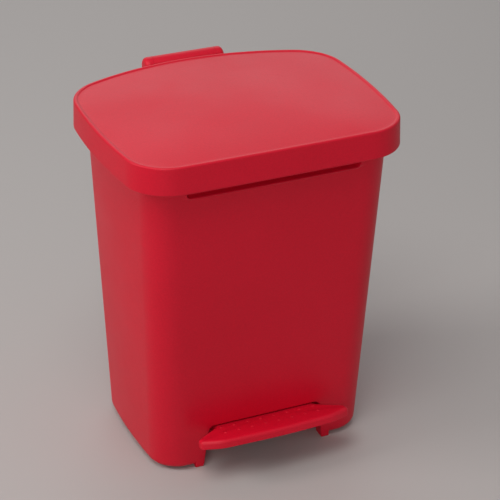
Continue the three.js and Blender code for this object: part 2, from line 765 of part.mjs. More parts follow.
function treadOutline() {
  const half = [
    [-pedal.neckHalfWidth, -pedal.rearReach, pedal.rearCorner],
    [-pedal.neckHalfWidth, -pedal.neckReach, pedal.neckCorner],
    [-pedal.endHalfWidth, -pedal.endRearReach, pedal.endCorner],
    [-pedal.endHalfWidth, -pedal.endFrontReach, pedal.endCorner],
    [-pedal.frontHalfWidth, -pedal.cornerReach, pedal.frontCorner],
  ];
  const other = half.map(([x, y, r]) => [-x, y, r]).reverse();
  const shape = roundedShape([...half, [0, -pedal.frontReach, pedal.frontBow], ...other]);
  return shape.getPoints(2).slice(0, -1);
}

function pedalTread() {
  const outline = treadOutline();
  const r = pedal.edgeRadius;
  const lipFoot = pedal.top - pedal.height;
  const underside = pedal.top - pedal.wall;
  const rings = [ring(outline, lipFoot)];
  for (const angle of [0, 30, 60, 90].map(degrees)) {
    rings.push(ring(insetOutline(outline, r * (1 - Math.cos(angle))), pedal.top - r + r * Math.sin(angle)));
  }
  const innerOutline = insetOutline(outline, pedal.wall);
  const hollow = loft([lipFoot - bite, underside].map((z) => ring(innerOutline, z)));
  const leverHalf = lever.halfWidth + gap;
  const mouth = block(at(-leverHalf, -pedal.rearReach - 2 * pedal.wall, -far), at(leverHalf, 0, underside));
  let made = loft(rings).subtract(hollow).subtract(mouth);
  for (const step of [-3, -2, -1, 1, 2, 3]) made = made.add(treadRib(step * pedal.ribSpacing));
  for (const reach of leverScrewReaches) {
    made = made.add(barZ(screw.bossRadius, lever.seat + gap, underside + bite, 0, -reach));
    made = made.subtract(barZ(screw.shankRadius + gap, -far, underside, 0, -reach));
  }
  return made;
}

// A stiffening rib under the tread, from the front lip to the rear one.
function treadRib(x) {
  const half = pedal.ribThickness / 2;
  const low = at(x - half, -pedal.cornerReach + bite, pedal.top - pedal.height + pedal.ribLift);
  return block(low, at(x + half, -pedal.rearReach - bite, pedal.top - pedal.wall + bite));
}

// The lever's side view, or its hollow from below when moved in by the wall.
function leverProfile(inset) {
  const below = inset ? far : 0;
  return roundedShape([
    [-lever.frontReach + inset, lever.seat - inset],
    [-lever.frontReach + inset, -lever.drop - below],
    [leverEnd - inset, -lever.drop / 2 - below],
    [leverEnd - inset, lever.rise - inset],
    [-lever.riseReach, lever.rise - inset],
    [-lever.seatReach, lever.seat - inset],
  ]);
}

// A rounded block in side view, round the lever's pin, reaching from y0 to y1.
function roundPin(y0, y1, halfHeight, cornerRear, cornerFront) {
  return roundedShape([
    [y0, lever.pinRise - halfHeight, cornerFront],
    [y1, lever.pinRise - halfHeight, cornerRear],
    [y1, lever.pinRise + halfHeight, cornerRear],
    [y0, lever.pinRise + halfHeight, cornerFront],
  ]);
}

function pedalLever() {
  const hollowHalf = lever.halfWidth - lever.wall;
  const tongueHalf = lever.tongueThickness / 2;
  const tongueEnd = pinReach + lever.tongueRadius;
  const tongue = roundPin(leverEnd - lever.wall, tongueEnd, lever.tongueRadius, lever.tongueCorner, 0);
  const slotHalf = link.pinRadius + lever.pinSlack + link.endClearance / 2;
  const slotEnds = [pinReach - slotHalf, pinReach + slotHalf];
  const slotHeight = link.pinRadius + link.endClearance / 2;
  const slot = roundPin(...slotEnds, slotHeight, lever.slotCorner, lever.slotCorner);
  let made = slabX(leverProfile(0), -lever.halfWidth, lever.halfWidth)
    .subtract(slabX(leverProfile(lever.wall), -hollowHalf, hollowHalf))
    .add(slabX(tongue, -tongueHalf, tongueHalf))
    .subtract(slabX(slot, -tongueHalf - bite, tongueHalf + bite))
    .subtract(barX(axle.radius + pressGap, -far, far, 0, 0));
  for (const reach of leverScrewReaches) {
    made = made.subtract(barZ(screw.shankRadius + gap, -far, far, 0, -reach));
  }
  return made;
}

function leverScrew(reach) {
  const face = lever.seat - lever.wall - gap;
  const tip = pedal.top - pedal.wall - screw.tipClearance;
  return barZ(screw.shankRadius, face - bite, tip, 0, -reach, 12)
    .add(barZ(screw.headRadius, face - screw.headHeight, face, 0, -reach, 16));
}

const bearingOuter = tunnel.laneHalfWidth - gap;
const bearingInner = bearingOuter - axle.bearingWidth;

const pedalAxle = () => barX(axle.radius, -bearingOuter + gap, bearingOuter - gap, 0, 0);

function axleRing(side) {
  const inner = lever.halfWidth + gap;
  const ends = ordered(side * inner, side * (inner + axle.ringWidth));
  return barX(axle.ringRadius, ...ends, 0, 0).subtract(barX(axle.radius + pressGap, -far, far, 0, 0));
}

function axleBearing(side) {
  const [left, right] = ordered(side * bearingInner, side * bearingOuter);
  const { axleY: y, axleHeight: z } = pedal;
  const half = axle.bearingHalfLength;
  return block(at(left, y - half, z - half), at(right, y + half, z + half))
    .subtract(barX(axle.radius + runningGap, -far, far, y, z));
}

// ---- Assembly --------------------------------------------------------------------------------------

const bin = new THREE.Group();

bin.add(meshOf('body_shell', bodyShell(), redPlastic()));
bin.add(meshOf('hinge_housing', hingeHousing(), redPlastic()));
bin.add(meshOf('rod_cover', rodCover(), redPlastic()));
for (const [name, z] of Object.entries(guideHeights)) bin.add(meshOf(name, rodGuide(z), blackNylon()));
bin.add(meshOf('axle_bearing_left', axleBearing(-1), blackNylon()));
bin.add(meshOf('axle_bearing_right', axleBearing(1), blackNylon()));
housingScrews.forEach(([x, z], i) => bin.add(meshOf(`housing_screw_${i + 1}`, earScrew(x, z), zincSteel())));
coverScrews.forEach(([x, z], i) => bin.add(meshOf(`cover_screw_${i + 1}`, earScrew(x, z), zincSteel())));

bin.add(meshOf('lid_shell', lidShell(), redPlastic()));
bin.add(meshOf('hinge_pin_left', hingePin(-1), zincSteel()));
bin.add(meshOf('hinge_pin_right', hingePin(1), zincSteel()));
bin.add(meshOf('lift_lug', liftLug(), blackNylon()));
lugScrewX.forEach((x, i) => bin.add(meshOf(`lug_screw_${i + 1}`, lugScrew(x), zincSteel())));

bin.add(meshOf('lift_rod', liftRod(), zincSteel()));
bin.add(meshOf('rod_head', rodFork(headPinZ, 1), blackNylon()));
bin.add(meshOf('head_pin', crossPin(headPinZ), zincSteel()));
bin.add(meshOf('rod_foot', rodFork(footPinZ, -1), blackNylon()));
bin.add(meshOf('foot_pin', crossPin(footPinZ), zincSteel()));

const pedalGroup = new THREE.Group();
pedalGroup.position.set(0, pedal.axleY, pedal.axleHeight);
pedalGroup.rotation.x = -tiltAngle;
pedalGroup.add(meshOf('pedal_tread', pedalTread(), redPlastic()));
pedalGroup.add(meshOf('pedal_lever', pedalLever(), blackNylon()));
leverScrewReaches.forEach((reach, i) => {
  pedalGroup.add(meshOf(`lever_screw_${i + 1}`, leverScrew(reach), zincSteel()));
});
pedalGroup.add(meshOf('pedal_axle', pedalAxle(), zincSteel()));
pedalGroup.add(meshOf('axle_ring_left', axleRing(-1), zincSteel()));
pedalGroup.add(meshOf('axle_ring_right', axleRing(1), zincSteel()));
bin.add(pedalGroup);

// The origin is on the floor, in the middle of the footprint.
const bounds = new THREE.Box3().setFromObject(bin, true);
bin.position.y = -(bounds.min.y + bounds.max.y) / 2;

export default bin;
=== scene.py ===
import math

import bpy
import numpy as np
from mathutils import Matrix, Vector


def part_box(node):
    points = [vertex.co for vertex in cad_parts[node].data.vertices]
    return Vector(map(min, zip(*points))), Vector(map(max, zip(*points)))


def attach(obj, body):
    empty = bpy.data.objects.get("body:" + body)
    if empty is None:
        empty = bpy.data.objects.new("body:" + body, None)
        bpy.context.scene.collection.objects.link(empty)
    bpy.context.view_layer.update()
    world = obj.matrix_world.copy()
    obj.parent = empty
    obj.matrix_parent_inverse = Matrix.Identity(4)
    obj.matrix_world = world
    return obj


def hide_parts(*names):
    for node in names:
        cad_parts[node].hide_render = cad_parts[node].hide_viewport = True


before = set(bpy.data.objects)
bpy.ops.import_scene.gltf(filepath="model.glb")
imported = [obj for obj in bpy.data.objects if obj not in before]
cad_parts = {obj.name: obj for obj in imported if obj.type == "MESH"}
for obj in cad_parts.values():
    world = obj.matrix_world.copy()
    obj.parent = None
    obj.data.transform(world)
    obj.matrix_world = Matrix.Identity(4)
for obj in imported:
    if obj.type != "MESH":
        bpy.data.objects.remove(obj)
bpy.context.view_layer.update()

# ---- Body -----------------------------------------------------------------------------------------
# One deep injection moulding in red polypropylene: a tapering bucket with bowed sides, a shallow
# finger recess under the lid's front edge, and a tunnel moulded through its floor for the pedal.
# It stands on four short feet beside the pedal opening and behind it.

lid_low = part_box("lid_shell")[0]
LID_WIDTH, LID_DEPTH, LID_FLARE = 420.0, 344.0, 1.5
LID_EDGE_HEIGHT, LID_SKIRT = 519.0, 40.5
FRONT_CORNER, REAR_CORNER = 64.0, 76.0
MIDDLE_Y = lid_low.y + (LID_DEPTH / 2 + LID_FLARE) / 1000
SKIRT_FOOT = LID_EDGE_HEIGHT - LID_SKIRT
FRONT_BOW, SIDE_BOW, REAR_BOW = 9000.0, 900.0, 422.0
OVERHANG = 19.3
FLOOR_OF_BODY, BOTTOM_ROUNDING, BODY_WALL = 3.0, 11.0, 2.8
BOTTOM_WIDTH, BOTTOM_DEPTH, BOTTOM_SHIFT = 340.0, 258.0, 7.5
BOTTOM_FRONT_CORNER, BOTTOM_REAR_CORNER = 46.0, 52.0
RIM_TOP, RIM_LIP, RIM_LIP_END, RIM_LIP_FADE = 516.1, 5.0, 95.0, 5.0
RECESS = {"half": 129.0, "foot": 462.0, "height": 35.0, "depth": 7.0, "corner": 6.0}
RECESS_EDGE, RECESS_BEAD, RECESS_BEAD_PLACE, RECESS_BEAD_WIDTH = 1.9, 2.0, 2.0, 1.5
CUTOUT = {"foot": 95.5, "top": 88.0, "height": 70.0, "corner": 10.0, "edge": 1.3}
BAY_HALF, LANE_HALF, BAY_END, TUNNEL_WALL = 97.5, 28.0, -66.0, 2.6
TUNNEL_CEILING, TUNNEL_FALL = 75.0, 14.0
FOOT_WIDTH, FOOT_LENGTH, FOOT_ROUNDING = 12.5, 20.0, 1.2
CLEARANCE = 0.3


def placed(points):
    """Millimetres from the floor and the lid's middle, as metres in the frame: scaled, then moved
    along Y."""
    return np.asarray(points, float) / 1000 + np.array([0.0, MIDDLE_Y, 0.0])


def meet(ax, ay, ra, bx, by, rb):
    """Where two circles cross, furthest towards +X: along the line of centres by the chord rule, then
    across it."""
    distance = np.hypot(bx - ax, by - ay)
    along = (distance**2 + ra**2 - rb**2) / (2 * distance)
    across = np.sqrt(ra**2 - along**2)
    ux, uy = (bx - ax) / distance, (by - ay) / distance
    left = (ax + ux * along - uy * across, ay + uy * along + ux * across)
    right = (ax + ux * along + uy * across, ay + uy * along - ux * across)
    further = left[0] > right[0]
    return np.where(further, left[0], right[0]), np.where(further, left[1], right[1])


def outline(width, depth, front_corner, rear_corner, shift, inset, shares):
    """Rings round a rounded rectangle with bowed sides. Every side is an arc of a large circle and every
    corner an arc that touches two sides; a point's share says how far along its arc it lies, and the
    left half is the right half mirrored. Inputs are columns of one value a ring; the result is ring by
    point by (x, y), anticlockwise from the middle of the front."""
    column = lambda v: np.atleast_1d(np.asarray(v, float)).reshape(-1, 1)
    width, depth, front_corner, rear_corner, shift, inset = map(
        column, (width, depth, front_corner, rear_corner, shift, inset))
    front = (0 * width, -depth / 2 + FRONT_BOW)
    rear = (0 * width, depth / 2 - REAR_BOW)
    side = (width / 2 - SIDE_BOW, 0 * width)
    fx, fy = meet(*front, FRONT_BOW - front_corner, *side, SIDE_BOW - front_corner)
    rx, ry = meet(*rear, REAR_BOW - rear_corner, *side, SIDE_BOW - rear_corner)
    a1 = np.arctan2(fy - front[1], fx - front[0])
    a2 = np.arctan2(fy - side[1], fx - side[0])
    a3 = np.arctan2(ry - side[1], rx - side[0])
    a4 = np.arctan2(ry - rear[1], rx - rear[0])
    arcs = [
        (*front, FRONT_BOW - inset, a1 * 0 - math.pi / 2, a1, shares[0]),
        (fx, fy, front_corner - inset, a1, a2, shares[1]),
        (*side, SIDE_BOW - inset, a2, a3, shares[2]),
        (rx, ry, rear_corner - inset, a3, a4, shares[3]),
        (*rear, REAR_BOW - inset, a4, a4 * 0 + math.pi / 2, shares[4]),
    ]
    xs, ys = [], []
    for cx, cy, radius, start, end, share in arcs:
        angle = start + (end - start) * np.asarray(share)[None, :]
        xs.append(cx + radius * np.cos(angle))
        ys.append(cy + radius * np.sin(angle))
    x, y = np.concatenate(xs, 1), np.concatenate(ys, 1)
    x = np.concatenate([x, -x[:, -2:0:-1]], 1)
    y = np.concatenate([y, y[:, -2:0:-1]], 1) + shift
    return np.stack([x, y], -1)


def body_sizes(z):
    """The body's plan sizes at a height: straight lines from the bottom's sizes to those at the
    skirt's foot."""
    t = (np.asarray(z, float) - FLOOR_OF_BODY) / (SKIRT_FOOT - FLOOR_OF_BODY)
    mix = lambda bottom, top: bottom + (top - bottom) * t
    return (mix(BOTTOM_WIDTH, LID_WIDTH - 2 * OVERHANG), mix(BOTTOM_DEPTH, LID_DEPTH - 2 * OVERHANG),
            mix(BOTTOM_FRONT_CORNER, FRONT_CORNER - OVERHANG),
            mix(BOTTOM_REAR_CORNER, REAR_CORNER - OVERHANG), mix(BOTTOM_SHIFT, 0.0))


def front_wall_y(x, z):
    """Y of the body's front face: the lowest point of its large arc, plus the arc's rise at x."""
    _, depth, _, _, shift = body_sizes(z)
    return shift - depth / 2 + FRONT_BOW - np.sqrt(FRONT_BOW**2 - np.asarray(x) ** 2)


def rear_wall_y(x, z):
    """Y of the body's rear face: the highest point of its arc, less the arc's fall at x."""
    _, depth, _, _, shift = body_sizes(z)
    return shift + depth / 2 - REAR_BOW + np.sqrt(REAR_BOW**2 - np.asarray(x) ** 2)


def skin(rings):
    """Faces over a stack of rings of equal length, each quad joining neighbours on two rings, and a fan
    round the mean of the first and of the last ring."""
    rings = np.asarray(rings, float)
    count, around = rings.shape[:2]
    r, c = np.meshgrid(np.arange(count - 1), np.arange(around), indexing="ij")
    n = (c + 1) % around
    corners = [r * around + c, r * around + n, (r + 1) * around + n, (r + 1) * around + c]
    faces = np.stack(corners, -1).reshape(-1, 4).tolist()
    points = rings.reshape(-1, 3)
    c = np.arange(around)
    n = (c + 1) % around
    low, high = len(points), len(points) + 1
    last = (count - 1) * around
    points = np.vstack([points, rings[0].mean(0), rings[-1].mean(0)])
    faces += np.stack([n, c, np.full(around, low)], -1).tolist()
    faces += np.stack([last + c, last + n, np.full(around, high)], -1).tolist()
    return points, faces


def creased(mesh):
    """Shades a mesh smooth, with creases where faces turn by more than 35 degrees."""
    mesh.polygons.foreach_set("use_smooth", np.ones(len(mesh.polygons), bool))
    mesh.set_sharp_from_angle(angle=math.radians(35.0))


def moulding(name, parts):
    """One object from several skins, moved to their place in the frame and shaded smooth."""
    points, faces, start = [], [], 0
    for part_points, part_faces in parts:
        points.append(part_points)
        faces += [[i + start for i in face] for face in part_faces]
        start += len(part_points)
    mesh = bpy.data.meshes.new(name)
    mesh.from_pydata(placed(np.vstack(points)).tolist(), [], faces)
    mesh.validate()
    creased(mesh)
    made = bpy.data.objects.new(name, mesh)
    bpy.context.scene.collection.objects.link(made)
    return made


def gathered(target, other):
    """Moves the second object's mesh into the first, uncut."""
    seen = [target, other]
    with bpy.context.temp_override(active_object=target, selected_editable_objects=seen,
                                   selected_objects=seen):
        bpy.ops.object.join()


def finished(made, material):
    """Puts one material on all of an object."""
    made.data.materials.clear()
    made.data.materials.append(material)


def joined(target, other, operation):
    """Cuts the second solid from the first, or adds it to the first; the second is used up."""
    step = target.modifiers.new("join", "BOOLEAN")
    step.operation, step.solver, step.object = operation, "EXACT", other
    step.use_self = True
    bpy.context.view_layer.update()
    seen = target.evaluated_get(bpy.context.evaluated_depsgraph_get())
    mesh = bpy.data.meshes.new_from_object(seen)
    target.modifiers.remove(step)
    old = target.data
    target.data = mesh
    mesh.name = old.name
    bpy.data.meshes.remove(old)
    spent = other.data
    bpy.data.objects.remove(other)
    bpy.data.meshes.remove(spent)
    creased(mesh)


def rounded_corners(corners, steps=8):
    """A closed outline through corner points (x, y, radius): each corner becomes an arc tangent to both
    edges, its centre on the bisector at radius over the sine of the half angle."""
    corner = np.array([c[:2] for c in corners], float)
    radius = np.array([c[2] for c in corners], float)
    back = np.roll(corner, 1, 0) - corner
    ahead = np.roll(corner, -1, 0) - corner
    back /= np.linalg.norm(back, axis=1, keepdims=True)
    ahead /= np.linalg.norm(ahead, axis=1, keepdims=True)
    half = np.arccos(np.clip((back * ahead).sum(1), -1, 1)) / 2
    middle = back + ahead
    middle /= np.maximum(np.linalg.norm(middle, axis=1, keepdims=True), 1e-9)
    centre = corner + middle * (radius / np.sin(half))[:, None]
    start = corner + back * (radius / np.tan(half))[:, None] - centre
    end = corner + ahead * (radius / np.tan(half))[:, None] - centre
    a = np.arctan2(start[:, 1], start[:, 0])
    turn = np.arctan2(end[:, 1], end[:, 0]) - a
    turn = (turn + np.pi) % (2 * np.pi) - np.pi
    angle = a[:, None] + turn[:, None] * np.linspace(0, 1, steps + 1)[None, :]
    points = centre[:, None] + radius[:, None, None] * np.stack([np.cos(angle), np.sin(angle)], -1)
    points = points.reshape(-1, 2)
    return points[np.linalg.norm(points - np.roll(points, 1, 0), axis=1) > 0.005]


def grown(points, distance):
    """A flat outline moved outwards along its normals by a distance, anticlockwise outlines growing."""
    along = np.roll(points, -1, 0) - np.roll(points, 1, 0)
    along /= np.maximum(np.linalg.norm(along, axis=1, keepdims=True), 1e-9)
    return points + np.stack([along[:, 1], -along[:, 0]], -1) * distance


def block(low, high, round=0.6):
    """A box with rounded edges: a square section that swells from its end faces by a quarter circle,
    carried from the lowest to the highest corner along Z."""
    low, high = np.asarray(low, float), np.asarray(high, float)
    section = rounded_corners([(low[0], low[1], round), (high[0], low[1], round),
                               (high[0], high[1], round), (low[0], high[1], round)], 4)
    middle = (low[:2] + high[:2]) / 2
    angle = np.linspace(0, np.pi / 2, 5)
    insets = np.concatenate([round * (1 - np.sin(angle)), round * (1 - np.cos(angle))])
    heights = np.concatenate([low[2] + round * (1 - np.cos(angle)), high[2] - round + round * np.sin(angle)])
    rings = []
    for inset, height in zip(insets, heights):
        ring = np.clip(section, low[:2] + inset, high[:2] - inset) if round else section
        rings.append(np.column_stack([ring, np.full(len(ring), height)]))
    return skin(rings)


def smooth_step(x):
    """0 below 0, 1 above 1 and a cubic ease between."""
    x = np.clip(x, 0, 1)
    return x * x * (3 - 2 * x)


def bucket():
    """The bucket as rings from the middle of its underside, round its bottom edge, up its wall, over its
    lip and down inside to the middle of its floor. The recess pushes the front wall back to a plane,
    by a step of its distance from the recess's rounded outline, and a bead round the recess stands out
    as a bell curve of that distance; the lip stands out by a width that fades where the skirt swings in."""
    arc = np.linspace(0, 1, 18, endpoint=False)
    shares = [np.concatenate([np.linspace(0, 0.83, 9), np.linspace(0.84, 0.93, 20), [0.965]]),
              arc, np.linspace(0, 1, 12, endpoint=False), arc, np.linspace(0, 1, 17)]
    quarter = np.linspace(0, np.pi / 2, 9)
    heights = np.concatenate([np.linspace(16, 446, 14), np.linspace(453, 467, 35), [472, 478, 484, 489],
                              np.linspace(491, 499.5, 9), [505, 510]])
    near_recess = [451, 453, 455, 456, 457, 459, 461, 465, 475, 485, 492, 495, 497, 499, 500, 501, 503, 510]
    inner_heights = np.concatenate([np.linspace(16, 445, 8), near_recess])
    inner_round = BOTTOM_ROUNDING - BODY_WALL
    under_rim = np.array([3.3, 3, 3, 2.6, 0.6, 0.15, 0, 0, 0.2, 0.8])
    flat_scales = [0.05, 0.4, 0.75, 0.95]
    flat, lip = len(flat_scales), len(under_rim)
    z = np.concatenate([
        np.full(flat, FLOOR_OF_BODY), FLOOR_OF_BODY + BOTTOM_ROUNDING * (1 - np.cos(quarter)), heights,
        RIM_TOP - under_rim, inner_heights[::-1],
        (FLOOR_OF_BODY + BODY_WALL + inner_round * (1 - np.cos(quarter)))[::-1],
        np.full(flat, FLOOR_OF_BODY + BODY_WALL)])
    inset = np.concatenate([
        np.full(flat, BOTTOM_ROUNDING), BOTTOM_ROUNDING * (1 - np.sin(quarter)), np.zeros(len(heights)),
        [0, 0, 0, 0, 0, 0, 0, 1.9, 2.6, 2.8],
        np.full(len(inner_heights), BODY_WALL), (BODY_WALL + inner_round * (1 - np.sin(quarter)))[::-1],
        np.full(flat, BOTTOM_ROUNDING)])
    lip_from = flat + len(quarter) + len(heights)
    lip_share = np.array([0.0, 0.12, 0.88, 1.0, 1.0, 0.9, 0.75, 0.0, 0.0, 0.0])
    xy = outline(*body_sizes(z), inset, shares)
    lip_rows = slice(lip_from, lip_from + lip)
    out = outline(*body_sizes(z[lip_rows]), inset[lip_rows] - RIM_LIP * lip_share, shares)
    fade = smooth_step((RIM_LIP_END - xy[lip_rows, :, 1:]) / RIM_LIP_FADE)
    xy[lip_rows] += (out - xy[lip_rows]) * fade
    for end, scales in ((0, flat_scales), (len(z) - flat, flat_scales[::-1])):
        centre = np.array([0.0, BOTTOM_SHIFT])
        xy[end:end + flat] = centre + (xy[end:end + flat] - centre) * np.array(scales)[:, None, None]
    rings = np.concatenate([xy, np.broadcast_to(z[:, None, None], xy.shape[:2] + (1,))], -1)
    for rows, grow in ((slice(0, lip_from), 0.0), (slice(lip_from + lip, len(z)), BODY_WALL)):
        x, y, height = rings[rows, :, 0], rings[rows, :, 1], rings[rows, :, 2]
        corner = RECESS["corner"] + grow
        half_height = RECESS["height"] / 2
        qx = np.abs(x) - (RECESS["half"] + grow - corner)
        qz = np.abs(height - RECESS["foot"] - half_height) - (half_height + grow - corner)
        outside = np.hypot(np.maximum(qx, 0), np.maximum(qz, 0))
        away = outside + np.minimum(np.maximum(qx, qz), 0) - corner
        plane = front_wall_y(0, RECESS["foot"]) + RECESS["depth"] + grow
        share = smooth_step(0.5 - away / RECESS_EDGE) * (y < 0)
        bell = np.exp(-((away - RECESS_BEAD_PLACE) / RECESS_BEAD_WIDTH) ** 2)
        bead = RECESS_BEAD * bell * (y < 0) * (grow == 0)
        rings[rows, :, 1] = y + share * np.maximum(plane - y, 0) - bead
    return skin(rings)


def opening(depths, grows):
    """The pedal opening as a solid: its rounded outline, straight at the foot and leaning in at the sides,
    carried backwards from the front face through depths, grown by the amount beside each depth."""
    rings = []
    for depth, grow in zip(depths, grows):
        corner = CUTOUT["corner"] + grow
        section = rounded_corners([(-CUTOUT["foot"] - grow, -3, 0), (CUTOUT["foot"] + grow, -3, 0),
                                   (CUTOUT["top"] + grow, CUTOUT["height"] + grow, corner),
                                   (-CUTOUT["top"] - grow, CUTOUT["height"] + grow, corner)], 10)
        x, z = section[:, 0], section[:, 1]
        rings.append(np.column_stack([x, front_wall_y(x, np.maximum(z, 0)) + depth, z]))
    return skin(rings[::-1])


def channel(half, start, end, grow, low):
    """A straight-sided duct with a ceiling that falls towards the rear, carried along Y; its front follows
    the front wall where `start` is a depth behind it."""
    rings = []
    corner, far_below, wall_height = 3.0, -200, 30.0
    for share in (0.0, 0.5, 1.0):
        section = rounded_corners([(-half, far_below, 0), (half, far_below, 0),
                                   (half, 0, corner), (-half, 0, corner)], 5)
        x, top = section[:, 0], section[:, 1] > far_below / 2
        y_front = front_wall_y(x, wall_height) + start if start > 0 else np.full(len(x), BAY_END - 1)
        y = y_front + (end - y_front) * share
        ceiling = TUNNEL_CEILING - TUNNEL_FALL * (y + LID_DEPTH / 2) / LID_DEPTH + grow
        z = np.where(top, section[:, 1] + ceiling, low)
        rings.append(np.column_stack([x, y, z]))
    return skin(rings[::-1])


shell = moulding("bin_body", [bucket()])
half_wall = BODY_WALL / 2
wall_foot, cut_foot = FLOOR_OF_BODY + half_wall, -5
lane_end, past_rear_wall = 134.0, 190.0
bay_walls = channel(BAY_HALF + TUNNEL_WALL, half_wall, BAY_END + TUNNEL_WALL, TUNNEL_WALL, wall_foot)
lane_walls = channel(LANE_HALF + TUNNEL_WALL, 0, lane_end, TUNNEL_WALL, wall_foot)
joined(shell, moulding("bay_walls", [bay_walls]), "UNION")
joined(shell, moulding("lane_walls", [lane_walls]), "UNION")
joined(shell, moulding("bay", [channel(BAY_HALF, BODY_WALL, BAY_END, 0, cut_foot)]), "DIFFERENCE")
joined(shell, moulding("lane", [channel(LANE_HALF, 0, past_rear_wall, 0, cut_foot)]), "DIFFERENCE")
turn = np.linspace(0, np.pi / 2, 6)
edge = CUTOUT["edge"]
depths = np.concatenate([[-12], edge * (1 - np.cos(turn)), [BODY_WALL + 3]])
grows = np.concatenate([[edge], edge * (1 - np.sin(turn)), [0]])
joined(shell, moulding("opening", [opening(depths, grows)]), "DIFFERENCE")


def foot(x0, x1, front):
    """A foot from the floor into the body's bottom edge: a square section with its outer side on the wall's
    face, drawn in at the floor by a quarter circle, carried up along Z."""
    round = FOOT_ROUNDING
    angle = np.linspace(0, np.pi / 2, 5)
    heights = np.concatenate([round * (1 - np.cos(angle)), [6.0, 16.0]])
    insets = np.concatenate([round * (1 - np.sin(angle)), [0, 0]])
    rings = []
    for height, inset in zip(heights, insets):
        section = rounded_corners([(x0 + inset, 0, round), (x1 - inset, 0, round),
                                   (x1 - inset, FOOT_LENGTH, round), (x0 + inset, FOOT_LENGTH, round)], 4)
        x, depth = section[:, 0], np.clip(section[:, 1], inset + 0.12, FOOT_LENGTH)
        if front:
            y = front_wall_y(x, height) + depth
        else:
            x, depth = x[::-1], depth[::-1]
            y = rear_wall_y(x, height) - depth
        rings.append(np.column_stack([x, y, np.full(len(x), height)]))
    return skin(rings)


def turned(profile, centre, axis, around=28):
    """A profile of (radius, distance along the axis) turned round an axis through a point."""
    profile = np.asarray(profile, float)
    angle = np.linspace(0, 2 * np.pi, around, endpoint=False)
    radius, along = profile[:, :1], profile[:, 1:] + 0 * angle[None, :]
    across, up = radius * np.cos(angle)[None, :], radius * np.sin(angle)[None, :]
    order = {"x": (along, across, up), "y": (up, along, across), "z": (across, up, along)}[axis]
    return skin(np.stack(order, -1) + np.asarray(centre, float))


HOUSING_HALF, COVER_HALF, COVER_BACK, HOUSING_FOOT = 49.7, 34.0, 180.0, 425.0
EAR_WIDTH, EAR_HEIGHT, EAR_SEAT, EAR_THICKNESS = 15.0, 16.0, 158.0, 3.0
housing_screw_x, cover_screw_x = HOUSING_HALF + EAR_WIDTH / 2, COVER_HALF + EAR_WIDTH / 2
housing_screw_places = [(side * housing_screw_x, z) for z in (441.0, 475.0) for side in (-1, 1)]
cover_screw_places = [(side * cover_screw_x, z) for z in (70.0, 397.0) for side in (-1, 1)]
feet = [foot(*sorted((side * CUTOUT["foot"], side * (CUTOUT["foot"] + FOOT_WIDTH))), front)
        for side in (-1, 1) for front in (True, False)]
boss_end = [(4.6, EAR_SEAT - 2 * CLEARANCE), (4.3, EAR_SEAT - CLEARANCE)]
bosses = [turned([(4.9, rear_wall_y(x, z) - 1)] + boss_end, (x, 0, z), "y")
          for x, z in housing_screw_places + cover_screw_places]
gathered(shell, moulding("feet_and_bosses", feet + bosses))


